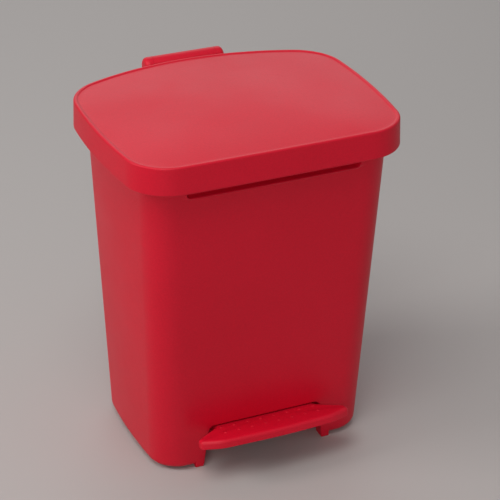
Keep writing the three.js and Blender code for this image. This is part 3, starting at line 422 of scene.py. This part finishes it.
def red_plastic(name, grain, worn):
    """Moulded polypropylene: a red that drifts slightly over the piece, a fine sparked grain in the bump,
    patches of different gloss, and faint rougher scuffs whose strength is set by `worn`."""
    material = bpy.data.materials.new(name)
    material.use_nodes = True
    nodes, link = material.node_tree.nodes, material.node_tree.links.new
    shader = nodes["Principled BSDF"]
    shader.inputs["Specular IOR Level"].default_value = 0.28
    shader.inputs["IOR"].default_value = 1.49
    place = nodes.new("ShaderNodeTexCoord").outputs["Object"]

    def noise(scale, detail, roughness=0.5):
        made = nodes.new("ShaderNodeTexNoise")
        made.inputs["Scale"].default_value = scale
        made.inputs["Detail"].default_value = detail
        made.inputs["Roughness"].default_value = roughness
        link(place, made.inputs["Vector"])
        return made.outputs["Fac"]

    def ramp(source, stops):
        made = nodes.new("ShaderNodeValToRGB")
        made.color_ramp.elements[0].position, made.color_ramp.elements[0].color = stops[0]
        made.color_ramp.elements[1].position, made.color_ramp.elements[1].color = stops[-1]
        for position, colour in stops[1:-1]:
            made.color_ramp.elements.new(position).color = colour
        link(source, made.inputs["Fac"])
        return made.outputs["Color"]

    drift = ramp(noise(5.0, 3.0), [(0.3, (0.665, 0.0032, 0.0225, 1)), (0.7, (0.715, 0.0042, 0.0265, 1))])
    fleck = ramp(noise(420.0, 3.0), [(0.35, (0.93, 0.93, 0.93, 1)), (0.65, (1.0, 1.0, 1.0, 1))])
    tint = nodes.new("ShaderNodeMix")
    tint.data_type, tint.blend_type = "RGBA", "MULTIPLY"
    tint.inputs["Factor"].default_value = 1.0
    link(drift, tint.inputs["A"])
    link(fleck, tint.inputs["B"])
    link(tint.outputs["Result"], shader.inputs["Base Color"])

    gloss = ramp(noise(9.0, 4.0, 0.6), [(0.3, (0.40, 0.40, 0.40, 1)), (0.7, (0.47, 0.47, 0.47, 1))])
    scratches = nodes.new("ShaderNodeTexNoise")
    scratches.inputs["Scale"].default_value = 60.0
    scratches.inputs["Detail"].default_value = 6.0
    scratches.inputs["Distortion"].default_value = 2.5
    link(place, scratches.inputs["Vector"])
    scuff = ramp(scratches.outputs["Fac"], [(0.0, (0, 0, 0, 1)), (0.68, (0, 0, 0, 1)),
                                            (0.74, (worn, worn, worn, 1)), (1.0, (worn, worn, worn, 1))])
    rough = nodes.new("ShaderNodeMath")
    rough.operation = "ADD"
    link(gloss, rough.inputs[0])
    link(scuff, rough.inputs[1])
    link(rough.outputs[0], shader.inputs["Roughness"])

    cells = nodes.new("ShaderNodeTexVoronoi")
    cells.inputs["Scale"].default_value = 900.0
    link(place, cells.inputs["Vector"])
    skin_bump = nodes.new("ShaderNodeBump")
    skin_bump.inputs["Strength"].default_value = grain
    skin_bump.inputs["Distance"].default_value = 0.00025
    link(cells.outputs["Distance"], skin_bump.inputs["Height"])
    sink = nodes.new("ShaderNodeBump")
    sink.inputs["Strength"].default_value = 0.12
    sink.inputs["Distance"].default_value = 0.004
    link(noise(7.0, 1.0), sink.inputs["Height"])
    link(sink.outputs["Normal"], skin_bump.inputs["Normal"])
    link(skin_bump.outputs["Normal"], shader.inputs["Normal"])
    return material


finished(shell, red_plastic("body_red", 0.30, 0.05))
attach(shell, "body")
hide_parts("body_shell")

# ---- Lid ------------------------------------------------------------------------------------------
# A single shallow moulding with a softly crowned top, a rounded rim and a deep skirt that leans out a
# little. The skirt is notched at the back for the hinge bar, and two knuckles reach back to it.

HINGE_Y, HINGE_Z, KNUCKLE_RADIUS, BAR_HALF, KNUCKLE_END = 186.0, 508.0, 14.5, 62.5, 50.0
NOTCH_HALF = BAR_HALF + 3.5


def lid_cover():
    """The lid as rings from the middle of its top, out over the crown, over the bead round its rim, down the
    skirt, round its foot and back up inside. The crown falls with the square of the distance from the
    middle, and the bead is a table of insets and drops. In the notch every ring of the skirt is lifted
    towards the rim by a step of the distance along X."""
    arc = np.linspace(0, 1, 30, endpoint=False)
    beside_notch = np.linspace(0, 0.42, 10, endpoint=False)
    notch_edge = np.linspace(0.42, 0.62, 26, endpoint=False)
    in_notch = np.linspace(0.62, 1, 14)
    shares = [np.linspace(0, 1, 20, endpoint=False), arc, np.linspace(0, 1, 20, endpoint=False), arc,
              np.concatenate([beside_notch, notch_edge, in_notch])]
    rim, crown, wall, sunk, foot_rounding = 2.6, 4.7, 2.6, 1.3, 1.3
    crown_edge, inner_edge = 7.4, 3.4
    bead_inset = np.array([7.2, 6.7, 6.2, 5.7, 5.2, 4.7, 4.1, 3.4])
    bead_drop = np.array([1.0, 0.95, 0.75, 0.5, 0.25, 0.08, 0.0, 0.0]) * sunk
    turn = np.linspace(0, np.pi / 2, 9)
    scales = np.array([0.03, 0.15, 0.3, 0.45, 0.6, 0.72, 0.82, 0.9, 0.95, 0.98])
    skirt = np.linspace(0, 1, 14)[1:]
    foot_turn = np.linspace(0, np.pi, 9)[1:]
    z = np.concatenate([LID_EDGE_HEIGHT - sunk + (crown + sunk) * (1 - scales**2),
                        LID_EDGE_HEIGHT - bead_drop,
                        LID_EDGE_HEIGHT - rim * (1 - np.cos(turn)),
                        LID_EDGE_HEIGHT - rim - (LID_SKIRT - rim - foot_rounding) * skirt,
                        SKIRT_FOOT + foot_rounding - foot_rounding * np.sin(foot_turn),
                        (LID_EDGE_HEIGHT - wall - 1 - (LID_SKIRT - wall - 2.3) * skirt)[::-1],
                        [LID_EDGE_HEIGHT - wall, LID_EDGE_HEIGHT - wall],
                        (LID_EDGE_HEIGHT - wall + crown * (1 - scales**2))[::-1]])
    lean = (LID_FLARE - 0.25) * (LID_EDGE_HEIGHT - rim - z) / (LID_SKIRT - rim)
    tops, skirts = len(scales), len(skirt)
    inset = np.concatenate([np.full(tops, crown_edge), bead_inset, rim * (1 - np.sin(turn)), np.zeros(skirts),
                            foot_rounding - foot_rounding * np.cos(foot_turn),
                            np.full(skirts, wall), [wall + 0.3, wall + 1.2], np.full(tops, inner_edge)])
    skirted = np.concatenate([np.zeros(tops + len(bead_inset) + len(turn)),
                              np.ones(skirts + len(foot_turn) + skirts), np.zeros(2 + tops)])
    inset = inset - skirted * lean
    ones = np.ones(len(z))
    plan = LID_WIDTH * ones, LID_DEPTH * ones, FRONT_CORNER * ones, REAR_CORNER * ones, 0 * ones
    xy = outline(*plan, inset, shares)
    xy[:tops] *= scales[:, None, None]
    xy[-tops:] *= scales[::-1, None, None]
    height = np.broadcast_to(z[:, None], xy.shape[:2]).copy()
    x, y = xy[..., 0], xy[..., 1]
    notch_top = LID_EDGE_HEIGHT - 3.4
    lifted = notch_top - (notch_top - height) * 0.02
    share = smooth_step((NOTCH_HALF + 2.5 - np.abs(x)) / 3.0) * (y > 0) * skirted[:, None]
    height += (lifted - height) * share
    return skin(np.concatenate([xy, height[..., None]], -1)[::-1])


def barrel(x0, x1, radius, rounds):
    """A profile along X: a cylinder's side drawn in at each end by a quarter circle of that end's own
    radius, turned round the hinge."""
    angle = np.linspace(0, np.pi / 2, 9)
    start, end = rounds
    first = np.column_stack([radius - start * (1 - np.sin(angle)), x0 + start * (1 - np.cos(angle))])
    last = np.column_stack([radius - end * (1 - np.cos(angle)), x1 - end + end * np.sin(angle)])
    return turned(np.concatenate([first, last]), (0, HINGE_Y, HINGE_Z), "x", 48)


def knuckle(side):
    """A barrel on the hinge, domed at its outer end, with a web forward to the rim and a post up to it."""
    x0, x1 = sorted((side * KNUCKLE_END, side * BAR_HALF))
    dome, joint, web_front, web_half, web_inset, web_round = 6.5, 0.15, 29, 5, 0.4, 1.2
    rounds = (dome, joint) if side < 0 else (joint, dome)
    low = (x0 + web_inset, HINGE_Y - web_front, HINGE_Z - web_half)
    post_high = (x1 - web_inset, LID_DEPTH / 2 - 4, LID_EDGE_HEIGHT - 1.5)
    return [barrel(x0, x1, KNUCKLE_RADIUS, rounds),
            block(low, (x1 - web_inset, HINGE_Y, HINGE_Z + web_half), web_round),
            block(low, post_high, web_round)]


cover = moulding("lid_top", [lid_cover()])
gathered(cover, moulding("lid_arms", knuckle(-1) + knuckle(1)))
finished(cover, red_plastic("lid_red", 0.26, 0.07))
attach(cover, "lid")
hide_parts("lid_shell")

# ---- Pedal ----------------------------------------------------------------------------------------
# A moulded tread with a rolled front lip, angled ends and a grid of small grip dots. It is hollow
# underneath, with ribs from front to back, and screws down on a black nylon lever.

AXLE_Y, AXLE_HEIGHT, TREAD_TILT = 15.0, 33.0, math.radians(10)
TREAD_TOP, TREAD_HEIGHT, TREAD_WALL = 10.4, 13.0, 3.0
TREAD_UNDER, TREAD_FOOT = TREAD_TOP - TREAD_WALL, TREAD_TOP - TREAD_HEIGHT
LEVER_SCREW_REACHES = (114, 138)


def tilted(part):
    """Points drawn level round the axle, turned about X by the pedal's rest angle and moved to the axle."""
    points, faces = part
    c, s = math.cos(-TREAD_TILT), math.sin(-TREAD_TILT)
    x, y, z = points.T
    return np.column_stack([x, AXLE_Y + y * c - z * s, AXLE_HEIGHT + y * s + z * c]), faces


def tread_outline(inset):
    """The tread seen from above: neck, angled ends and a front edge bowed by a large arc, moved in by a
    distance."""
    half = [(80, -100, 4), (80, -145, 6), (117, -172, 4), (117, -184, 5), (88, -195.7, 60)]
    corners = [(-x, y, r) for x, y, r in half] + [(0, -200, 900)] + half[::-1]
    return grown(rounded_corners(corners, 8), -inset)


def tread_skin():
    """Rings from the middle of the top, out to the rolled edge, down the lip, round its foot and up
    inside."""
    roll = 6.0
    turn = np.linspace(0, np.pi / 2, 10)
    foot_turn = np.linspace(0, np.pi, 7)[1:]
    hub = np.array([0.0, -150.0])
    rings = []
    flat = tread_outline(roll)
    for scale in (0.05, 0.3, 0.6, 0.85):
        rings.append(np.column_stack([hub + (flat - hub) * scale, np.full(len(flat), TREAD_TOP)]))
    for a in turn:
        ring = tread_outline(roll * (1 - math.sin(a)))
        rings.append(np.column_stack([ring, np.full(len(ring), TREAD_TOP - roll * 0.9 * (1 - math.cos(a)))]))
    for a in foot_turn:
        ring = tread_outline(1.5 - 1.5 * math.cos(a))
        rings.append(np.column_stack([ring, np.full(len(ring), TREAD_FOOT + 1.5 - 1.5 * math.sin(a))]))
    inner_edge = 6.5
    for inset, z in ((3.0, TREAD_UNDER - 5), (4.0, TREAD_UNDER - 1.5), (inner_edge, TREAD_UNDER)):
        ring = tread_outline(inset)
        rings.append(np.column_stack([ring, np.full(len(ring), z)]))
    ceiling = tread_outline(inner_edge)
    for scale in (0.85, 0.6, 0.3, 0.05):
        rings.append(np.column_stack([hub + (ceiling - hub) * scale, np.full(len(flat), TREAD_UNDER)]))
    return skin(rings[::-1])


tread = moulding("pedal_step", [tilted(tread_skin())])
MOUTH_HALF, MOUTH_REACH, MOUTH_DEPTH = 18.3, 106, 60
mouth = block((-MOUTH_HALF, -MOUTH_REACH, -MOUTH_DEPTH), (MOUTH_HALF, 0, TREAD_UNDER), 0.4)
joined(tread, moulding("lever_mouth", [tilted(mouth)]), "DIFFERENCE")
DOT_SPACING, DOT_ROWS = 21.0, (171, 152, 133)
dot = [(2.6, TREAD_TOP - 0.4), (2.4, TREAD_TOP + 0.15), (1.8, TREAD_TOP + 0.6), (0.8, TREAD_TOP + 0.8)]
dots = [turned(dot, ((step - 3.5) * DOT_SPACING, -reach, 0), "z", 12)
        for reach in DOT_ROWS for step in range(8)]
RIB_HALF, RIB_FRONT, RIB_REAR, RIB_PLACES = 1.1, 193, 101.5, (-78, -52, -26, 26, 52, 78)
ribs = [block((x - RIB_HALF, -RIB_FRONT, TREAD_FOOT + 4), (x + RIB_HALF, -RIB_REAR, TREAD_UNDER + 0.8), 0.5)
        for x in RIB_PLACES]
post = [(4.6, -2.7), (4.8, TREAD_UNDER + 0.5)]
posts = [turned(post, (0, -reach, 0), "z") for reach in LEVER_SCREW_REACHES]
gathered(tread, moulding("grip_and_ribs", [tilted(part) for part in dots + ribs + posts]))
finished(tread, red_plastic("pedal_red", 0.22, 0.12))
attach(tread, "pedal")
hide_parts("pedal_tread")

# ---- Hinge housing and rod cover --------------------------------------------------------------------
# Two red mouldings screwed to the body's back through ears: a box that carries the hinge bar, and a
# channel below it that hides the lift rod almost down to the floor. Zinc plated pan-head screws hold them.


def prism_x(corners, x0, x1, round, against_wall=False):
    """An outline in Y and Z, corners rounded, carried along X and drawn in at both ends by a quarter circle.
    Against the wall, no point lies in front of the body's rear face and its small clearance."""
    section = rounded_corners(corners, 5)
    angle = np.linspace(0, np.pi / 2, 5)
    insets = np.concatenate([round * (1 - np.sin(angle)), np.zeros(5), round * (1 - np.cos(angle))])
    along = np.concatenate([x0 + round * (1 - np.cos(angle)), np.linspace(x0 + round, x1 - round, 7)[1:-1],
                            x1 - round + round * np.sin(angle)])
    rings = []
    for inset, x in zip(insets, along):
        yz = grown(section, -inset)
        if against_wall:
            yz[:, 0] = np.maximum(yz[:, 0], rear_wall_y(x, yz[:, 1]) + CLEARANCE)
        rings.append(np.column_stack([np.full(len(yz), x), yz]))
    return skin(rings)


def ear(z, half, side):
    """A flat ear with a rounded outer end, from the housing's side to past its screw."""
    low, high = sorted((side * (half - 1), side * (half + EAR_WIDTH)))
    seat, back = EAR_SEAT, EAR_SEAT + EAR_THICKNESS
    return block((low, seat, z - EAR_HEIGHT / 2), (high, back, z + EAR_HEIGHT / 2), 1.0)


def with_ears(target, places, half, name):
    """Adds one ear for each screw place to a moulding."""
    for x, z in places:
        joined(target, moulding(name, [ear(z, half, 1 if x > 0 else -1)]), "UNION")


BAR_BACK, BAR_FRONT, SKIN = HINGE_Y + KNUCKLE_RADIUS, HINGE_Y - KNUCKLE_RADIUS, 2.8
HOUSING_TOP, POCKET_HALF, COVER_WALL = 494.0, 30.0, 2.4
INSIDE_BODY, POCKET_OPEN = 120.0, HOUSING_FOOT - 9
SWEEP_RADIUS, THROAT_HALF = 33.0, 12.0
pocket_top = HINGE_Z - KNUCKLE_RADIUS - SKIN
housing_corners = [(INSIDE_BODY, HOUSING_FOOT, 0), (COVER_BACK, HOUSING_FOOT, 2), (BAR_BACK, pocket_top, 9),
                   (BAR_BACK, HINGE_Z, 0), (BAR_FRONT, HINGE_Z, 0), (BAR_FRONT, HOUSING_TOP, 1.5),
                   (INSIDE_BODY, HOUSING_TOP, 0)]
pocket_corners = [(INSIDE_BODY, POCKET_OPEN, 0), (COVER_BACK - SKIN - COVER_WALL, POCKET_OPEN, 0),
                  (COVER_BACK - SKIN, HOUSING_FOOT, 0), (BAR_BACK - SKIN, pocket_top, 5),
                  (INSIDE_BODY, pocket_top, 0)]
side_pocket = sorted((POCKET_HALF + SKIN, HOUSING_HALF - SKIN))
housing = moulding("rear_housing", [prism_x(housing_corners, -HOUSING_HALF, HOUSING_HALF, 1.4, True)])
for x0, x1 in ((-side_pocket[1], -side_pocket[0]), (-POCKET_HALF, POCKET_HALF), side_pocket):
    joined(housing, moulding("pocket", [prism_x(pocket_corners, x0, x1, 0.5)]), "DIFFERENCE")
half_turn = np.linspace(math.pi / 2, 3 * math.pi / 2, 24)
sweep = np.array([HINGE_Y, HINGE_Z]) + SWEEP_RADIUS * np.column_stack([np.cos(half_turn), np.sin(half_turn)])
throat = [np.column_stack([np.full(24, x), sweep]) for x in (-THROAT_HALF, THROAT_HALF)]
joined(housing, moulding("throat", [skin(throat)]), "DIFFERENCE")
joined(housing, moulding("bar", [barrel(-HOUSING_HALF, HOUSING_HALF, KNUCKLE_RADIUS, (0.15, 0.15))]), "UNION")
with_ears(housing, housing_screw_places, HOUSING_HALF, "housing_ear")
finished(housing, red_plastic("housing_red", 0.28, 0.05))
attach(housing, "body")
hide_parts("hinge_housing")


def channel_z(half, back, low, high, corner, front_gap):
    """A rounded section in plan, its front on the body's rear face, carried up along Z."""
    rings = []
    round = 0.8
    angle = np.linspace(0, np.pi / 2, 4)
    insets = np.concatenate([round * (1 - np.sin(angle)), np.zeros(3), round * (1 - np.cos(angle))])
    heights = np.concatenate([low + round * (1 - np.cos(angle)), np.linspace(low + 1, high - 1, 5)[1:-1],
                              high - round + round * np.sin(angle)])
    for inset, z in zip(insets, heights):
        plan = [(-half, 100, 0), (half, 100, 0), (half, back, corner), (-half, back, corner)]
        xy = grown(rounded_corners(plan, 7), -inset)
        xy[:, 1] = np.maximum(xy[:, 1], rear_wall_y(xy[:, 0], z) + front_gap)
        rings.append(np.column_stack([xy, np.full(len(xy), z)]))
    return skin(rings)


COVER_FOOT, COVER_CORNER = 5.0, 6.0
outside = channel_z(COVER_HALF, COVER_BACK, COVER_FOOT, HOUSING_FOOT - CLEARANCE, COVER_CORNER, CLEARANCE)
inside = channel_z(COVER_HALF - COVER_WALL, COVER_BACK - COVER_WALL, -5.0, HOUSING_FOOT + 9,
                   COVER_CORNER - COVER_WALL, -6.0)
rod_channel = moulding("rod_channel", [outside])
joined(rod_channel, moulding("channel_hollow", [inside]), "DIFFERENCE")
with_ears(rod_channel, cover_screw_places, COVER_HALF, "channel_ear")
finished(rod_channel, red_plastic("cover_red", 0.28, 0.06))
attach(rod_channel, "body")
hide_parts("rod_cover")


def zinc_steel(name, streak):
    """Bright zinc plate over steel: a cool grey with cloudy patches and fine drawn lines set by `streak`."""
    material = bpy.data.materials.new(name)
    material.use_nodes = True
    nodes, link = material.node_tree.nodes, material.node_tree.links.new
    shader = nodes["Principled BSDF"]
    shader.inputs["Metallic"].default_value = 1.0
    place = nodes.new("ShaderNodeTexCoord").outputs["Object"]
    stretch = nodes.new("ShaderNodeMapping")
    stretch.inputs["Scale"].default_value = streak
    link(place, stretch.inputs["Vector"])
    lines = nodes.new("ShaderNodeTexNoise")
    lines.inputs["Scale"].default_value = 500.0
    lines.inputs["Detail"].default_value = 3.0
    link(stretch.outputs["Vector"], lines.inputs["Vector"])
    clouds = nodes.new("ShaderNodeTexNoise")
    clouds.inputs["Scale"].default_value = 120.0
    link(place, clouds.inputs["Vector"])
    colour = nodes.new("ShaderNodeValToRGB")
    dull, bright = colour.color_ramp.elements
    dull.position, dull.color = 0.3, (0.50, 0.51, 0.53, 1)
    bright.position, bright.color = 0.7, (0.66, 0.67, 0.68, 1)
    link(clouds.outputs["Fac"], colour.inputs["Fac"])
    link(colour.outputs["Color"], shader.inputs["Base Color"])
    rough = nodes.new("ShaderNodeMapRange")
    rough.inputs["To Min"].default_value, rough.inputs["To Max"].default_value = 0.22, 0.42
    link(lines.outputs["Fac"], rough.inputs["Value"])
    link(rough.outputs["Result"], shader.inputs["Roughness"])
    bump = nodes.new("ShaderNodeBump")
    bump.inputs["Strength"].default_value, bump.inputs["Distance"].default_value = 0.2, 0.00008
    link(lines.outputs["Fac"], bump.inputs["Height"])
    link(bump.outputs["Normal"], shader.inputs["Normal"])
    return material


def screw(x, y, z, axis, outward):
    """A pan-head screw: the head's height over its radius is part of an ellipse, less a cross-shaped recess
    that fades with the distance from the cross's arms; the shank is a plain turned bar."""
    radius = np.concatenate([np.linspace(0.15, 2.6, 14), [3.0, 3.3, 3.6, 3.8, 3.9, 3.9, 1.9, 1.9]])
    angle = np.linspace(0, 2 * np.pi, 48, endpoint=False)
    r, a = np.meshgrid(radius, angle, indexing="ij")
    height = 2.4 * np.sqrt(1 - np.minimum(r / 4.05, 1) ** 2)
    height[-3], height[-2], height[-1] = 0.0, 0.0, -7.0
    across, up = r * np.cos(a), r * np.sin(a)
    arm = np.minimum(np.abs(across), np.abs(up))
    height -= 1.2 * smooth_step((0.62 - arm) / 0.3) * smooth_step((2.3 - r) / 0.5)
    along = height * outward
    order = {"y": (across, along, up), "z": (across, up, along)}[axis]
    rings = np.stack(order, -1) + np.array([x, y, z], float)
    flipped = (axis == "z") == (outward > 0)
    return skin(rings[::-1] if flipped else rings)


screw_zinc = zinc_steel("screw_zinc", (1, 1, 1))
head_y = EAR_SEAT + EAR_THICKNESS + CLEARANCE
for group, places in (("housing_screw", housing_screw_places), ("cover_screw", cover_screw_places)):
    for number, (x, z) in enumerate(places, 1):
        made = moulding(f"{group}_pan_{number}", [screw(x, head_y, z, "y", 1)])
        made.data.materials.append(screw_zinc)
        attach(made, "body")
        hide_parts(f"{group}_{number}")

# ---- Hinge pins, lift rod and pedal linkage ----------------------------------------------------------
# Zinc plated wire parts carry the motion: two headed hinge pins, a straight lift rod with a cross pin
# at each end, and the pedal's axle with a ring each side. The forks, guides, bearings, lug and lever
# are black nylon.


def black_nylon(name):
    """Glass-filled nylon: near black with a faint grey mottle, a semi-matt skin and a sandy bump."""
    material = bpy.data.materials.new(name)
    material.use_nodes = True
    nodes, link = material.node_tree.nodes, material.node_tree.links.new
    shader = nodes["Principled BSDF"]
    place = nodes.new("ShaderNodeTexCoord").outputs["Object"]
    mottle = nodes.new("ShaderNodeTexNoise")
    mottle.inputs["Scale"].default_value, mottle.inputs["Detail"].default_value = 260.0, 5.0
    link(place, mottle.inputs["Vector"])
    colour = nodes.new("ShaderNodeValToRGB")
    dark, grey = colour.color_ramp.elements
    dark.position, dark.color = 0.3, (0.010, 0.010, 0.011, 1)
    grey.position, grey.color = 0.75, (0.026, 0.026, 0.028, 1)
    link(mottle.outputs["Fac"], colour.inputs["Fac"])
    link(colour.outputs["Color"], shader.inputs["Base Color"])
    rough = nodes.new("ShaderNodeMapRange")
    rough.inputs["To Min"].default_value, rough.inputs["To Max"].default_value = 0.42, 0.6
    link(mottle.outputs["Fac"], rough.inputs["Value"])
    link(rough.outputs["Result"], shader.inputs["Roughness"])
    bump = nodes.new("ShaderNodeBump")
    bump.inputs["Strength"].default_value, bump.inputs["Distance"].default_value = 0.25, 0.0001
    link(mottle.outputs["Fac"], bump.inputs["Height"])
    link(bump.outputs["Normal"], shader.inputs["Normal"])
    return material


nylon = black_nylon("glass_nylon")
for node in ("rod_guide_lower", "rod_guide_upper", "axle_bearing_left", "axle_bearing_right",
             "lift_lug", "rod_head", "rod_foot", "pedal_lever"):
    finished(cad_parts[node], nylon)

ROD_TO_HINGE, HALF_OPENING, ROD_RADIUS, ROD_INSET = 20.5, math.radians(37.5), 3, 15.3
PIN_REACH, PIN_RISE, PIN_RADIUS, PIN_HALF = 151.4, 4, 2, 9
AXLE_RADIUS, AXLE_HALF = 4, 27.4
ROD_Y = HINGE_Y - ROD_TO_HINGE
wire_zinc = zinc_steel("wire_zinc", (1, 1, 0.05))


def steel_bar(name, node, body, profile, centre, axis, tilt=False):
    """Adds a steel part that stands for one node: a profile of radius and distance, turned round its
    axis."""
    part = turned(profile, centre, axis)
    made = moulding(name, [tilted(part) if tilt else part])
    made.data.materials.append(wire_zinc)
    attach(made, body)
    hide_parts(node)


def rod_profile(radius, start, end, round):
    """A bar's profile with both ends drawn in by a chamfer and a curve."""
    return [(radius - round, start), (radius - round * 0.3, start + round * 0.3), (radius, start + round),
            (radius, end - round), (radius - round * 0.3, end - round * 0.3), (radius - round, end)]


head_pin_z = HINGE_Z - ROD_TO_HINGE * math.tan(HALF_OPENING)
foot_pin_z = AXLE_HEIGHT - PIN_REACH * math.sin(TREAD_TILT) + PIN_RISE * math.cos(TREAD_TILT)
rod_ends = foot_pin_z + ROD_INSET, head_pin_z - ROD_INSET
cross_pin = rod_profile(PIN_RADIUS, -PIN_HALF, PIN_HALF, 0.4)
steel_bar("rod_wire", "lift_rod", "rod", rod_profile(ROD_RADIUS, *rod_ends, 0.4), (0, ROD_Y, 0), "z")
steel_bar("pin_top", "head_pin", "rod", cross_pin, (0, ROD_Y, head_pin_z), "x")
steel_bar("pin_low", "foot_pin", "rod", cross_pin, (0, ROD_Y, foot_pin_z), "x")
for side, word in ((-1, "left"), (1, "right")):
    head = [(2.7, 26), (3, 26.4), (3, 58.8), (5.2, 58.8), (5.5, 59.1), (5.5, 60.8), (4.8, 61.4), (3, 61.5)]
    if side < 0:
        head = [(r, -x) for r, x in head[::-1]]
    steel_bar(f"hinge_rivet_{word}", f"hinge_pin_{word}", "lid", head, (0, HINGE_Y, HINGE_Z), "x")
axle_profile = rod_profile(AXLE_RADIUS, -AXLE_HALF, AXLE_HALF, 0.5)
steel_bar("axle_wire", "pedal_axle", "pedal", axle_profile, (0, 0, 0), "x", True)
for side, word in ((-1, "left"), (1, "right")):
    washer = [(7.1, 18.35), (7.45, 18.6), (7.45, 19.2), (7.1, 19.45)]
    if side < 0:
        washer = [(r, -x) for r, x in washer[::-1]]
    steel_bar(f"axle_washer_{word}", f"axle_ring_{word}", "pedal", washer, (0, 0, 0), "x", True)
lug_face, lever_face, lug_base_y, lug_screw_x = HINGE_Z - 3.3, -6.3, HINGE_Y - 24.2, 10.4
hidden_screws = [("lug_screw", number, "lid", screw(x, lug_base_y, lug_face, "z", -1))
                 for number, x in enumerate((-lug_screw_x, lug_screw_x), 1)]
hidden_screws += [("lever_screw", number, "pedal", tilted(screw(0, -reach, lever_face, "z", -1)))
                  for number, reach in enumerate(LEVER_SCREW_REACHES, 1)]
for group, number, body, part in hidden_screws:
    made = moulding(f"{group}_pan_{number}", [part])
    made.data.materials.append(screw_zinc)
    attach(made, body)
    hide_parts(f"{group}_{number}")

# ---- Floor, light and camera ------------------------------------------------------------------------
# A plain pale studio floor under a soft window from the left, with bright cards behind the bin, in
# front of it and above it, and an even sky.

floor_corners = np.array([(-9000, -9000, 0), (9000, -9000, 0), (9000, 9000, 0), (-9000, 9000, 0)])
floor = moulding("floor", [(floor_corners, [[0, 1, 2, 3]])])
floor_paint = bpy.data.materials.new("floor_paint")
floor_paint.use_nodes = True
floor_shader = floor_paint.node_tree.nodes["Principled BSDF"]
floor_shader.inputs["Base Color"].default_value = (0.47, 0.435, 0.415, 1)
floor_shader.inputs["Roughness"].default_value = 0.6
floor.data.materials.append(floor_paint)

world = bpy.data.worlds.new("studio")
world.use_nodes = True
world.node_tree.nodes["Background"].inputs["Color"].default_value = (0.95, 0.97, 1.0, 1)
world.node_tree.nodes["Background"].inputs["Strength"].default_value = 0.35
bpy.context.scene.world = world


def soft_light(name, position, target, width, height, power):
    """Adds a rectangular lamp at a position, facing a target."""
    lamp = bpy.data.lights.new(name, "AREA")
    lamp.shape, lamp.size, lamp.size_y, lamp.energy = "RECTANGLE", width, height, power
    made = bpy.data.objects.new(name, lamp)
    made.location = position
    made.rotation_mode = "QUATERNION"
    direction = Vector(target) - Vector(position)
    made.rotation_quaternion = direction.to_track_quat("-Z", "Y")
    bpy.context.scene.collection.objects.link(made)


soft_light("window_left", (-2.6, 0.45, 2.0), (0, 0, 0.3), 0.9, 0.9, 28)
soft_light("card_behind", (0.9, 2.9, 1.7), (0, 0, 0.4), 2.6, 1.6, 14)
soft_light("card_in_front", (-1.6, -2.6, 1.5), (0, 0, 0.45), 1.6, 0.8, 17)
soft_light("card_above", (-0.9, -0.9, 3.0), (0, 0, 0.5), 1.4, 1.4, 30)

camera = bpy.data.objects.new("camera", bpy.data.cameras.new("camera"))
camera.data.sensor_width, camera.data.lens = 36.0, 134.48
camera.location = placed((-940.4, -2218.2, 1592.8))
turn_left, tip_down, lean_over = math.radians(23.61), math.radians(28.571), math.radians(0.345)
camera.rotation_mode = "QUATERNION"
aim = Matrix.Rotation(-turn_left, 3, "Z") @ Matrix.Rotation(math.pi / 2 - tip_down, 3, "X")
camera.rotation_quaternion = (aim @ Matrix.Rotation(lean_over, 3, "Z")).to_quaternion()
bpy.context.scene.collection.objects.link(camera)
bpy.context.scene.camera = camera
bpy.context.scene.view_settings.view_transform = "Standard"
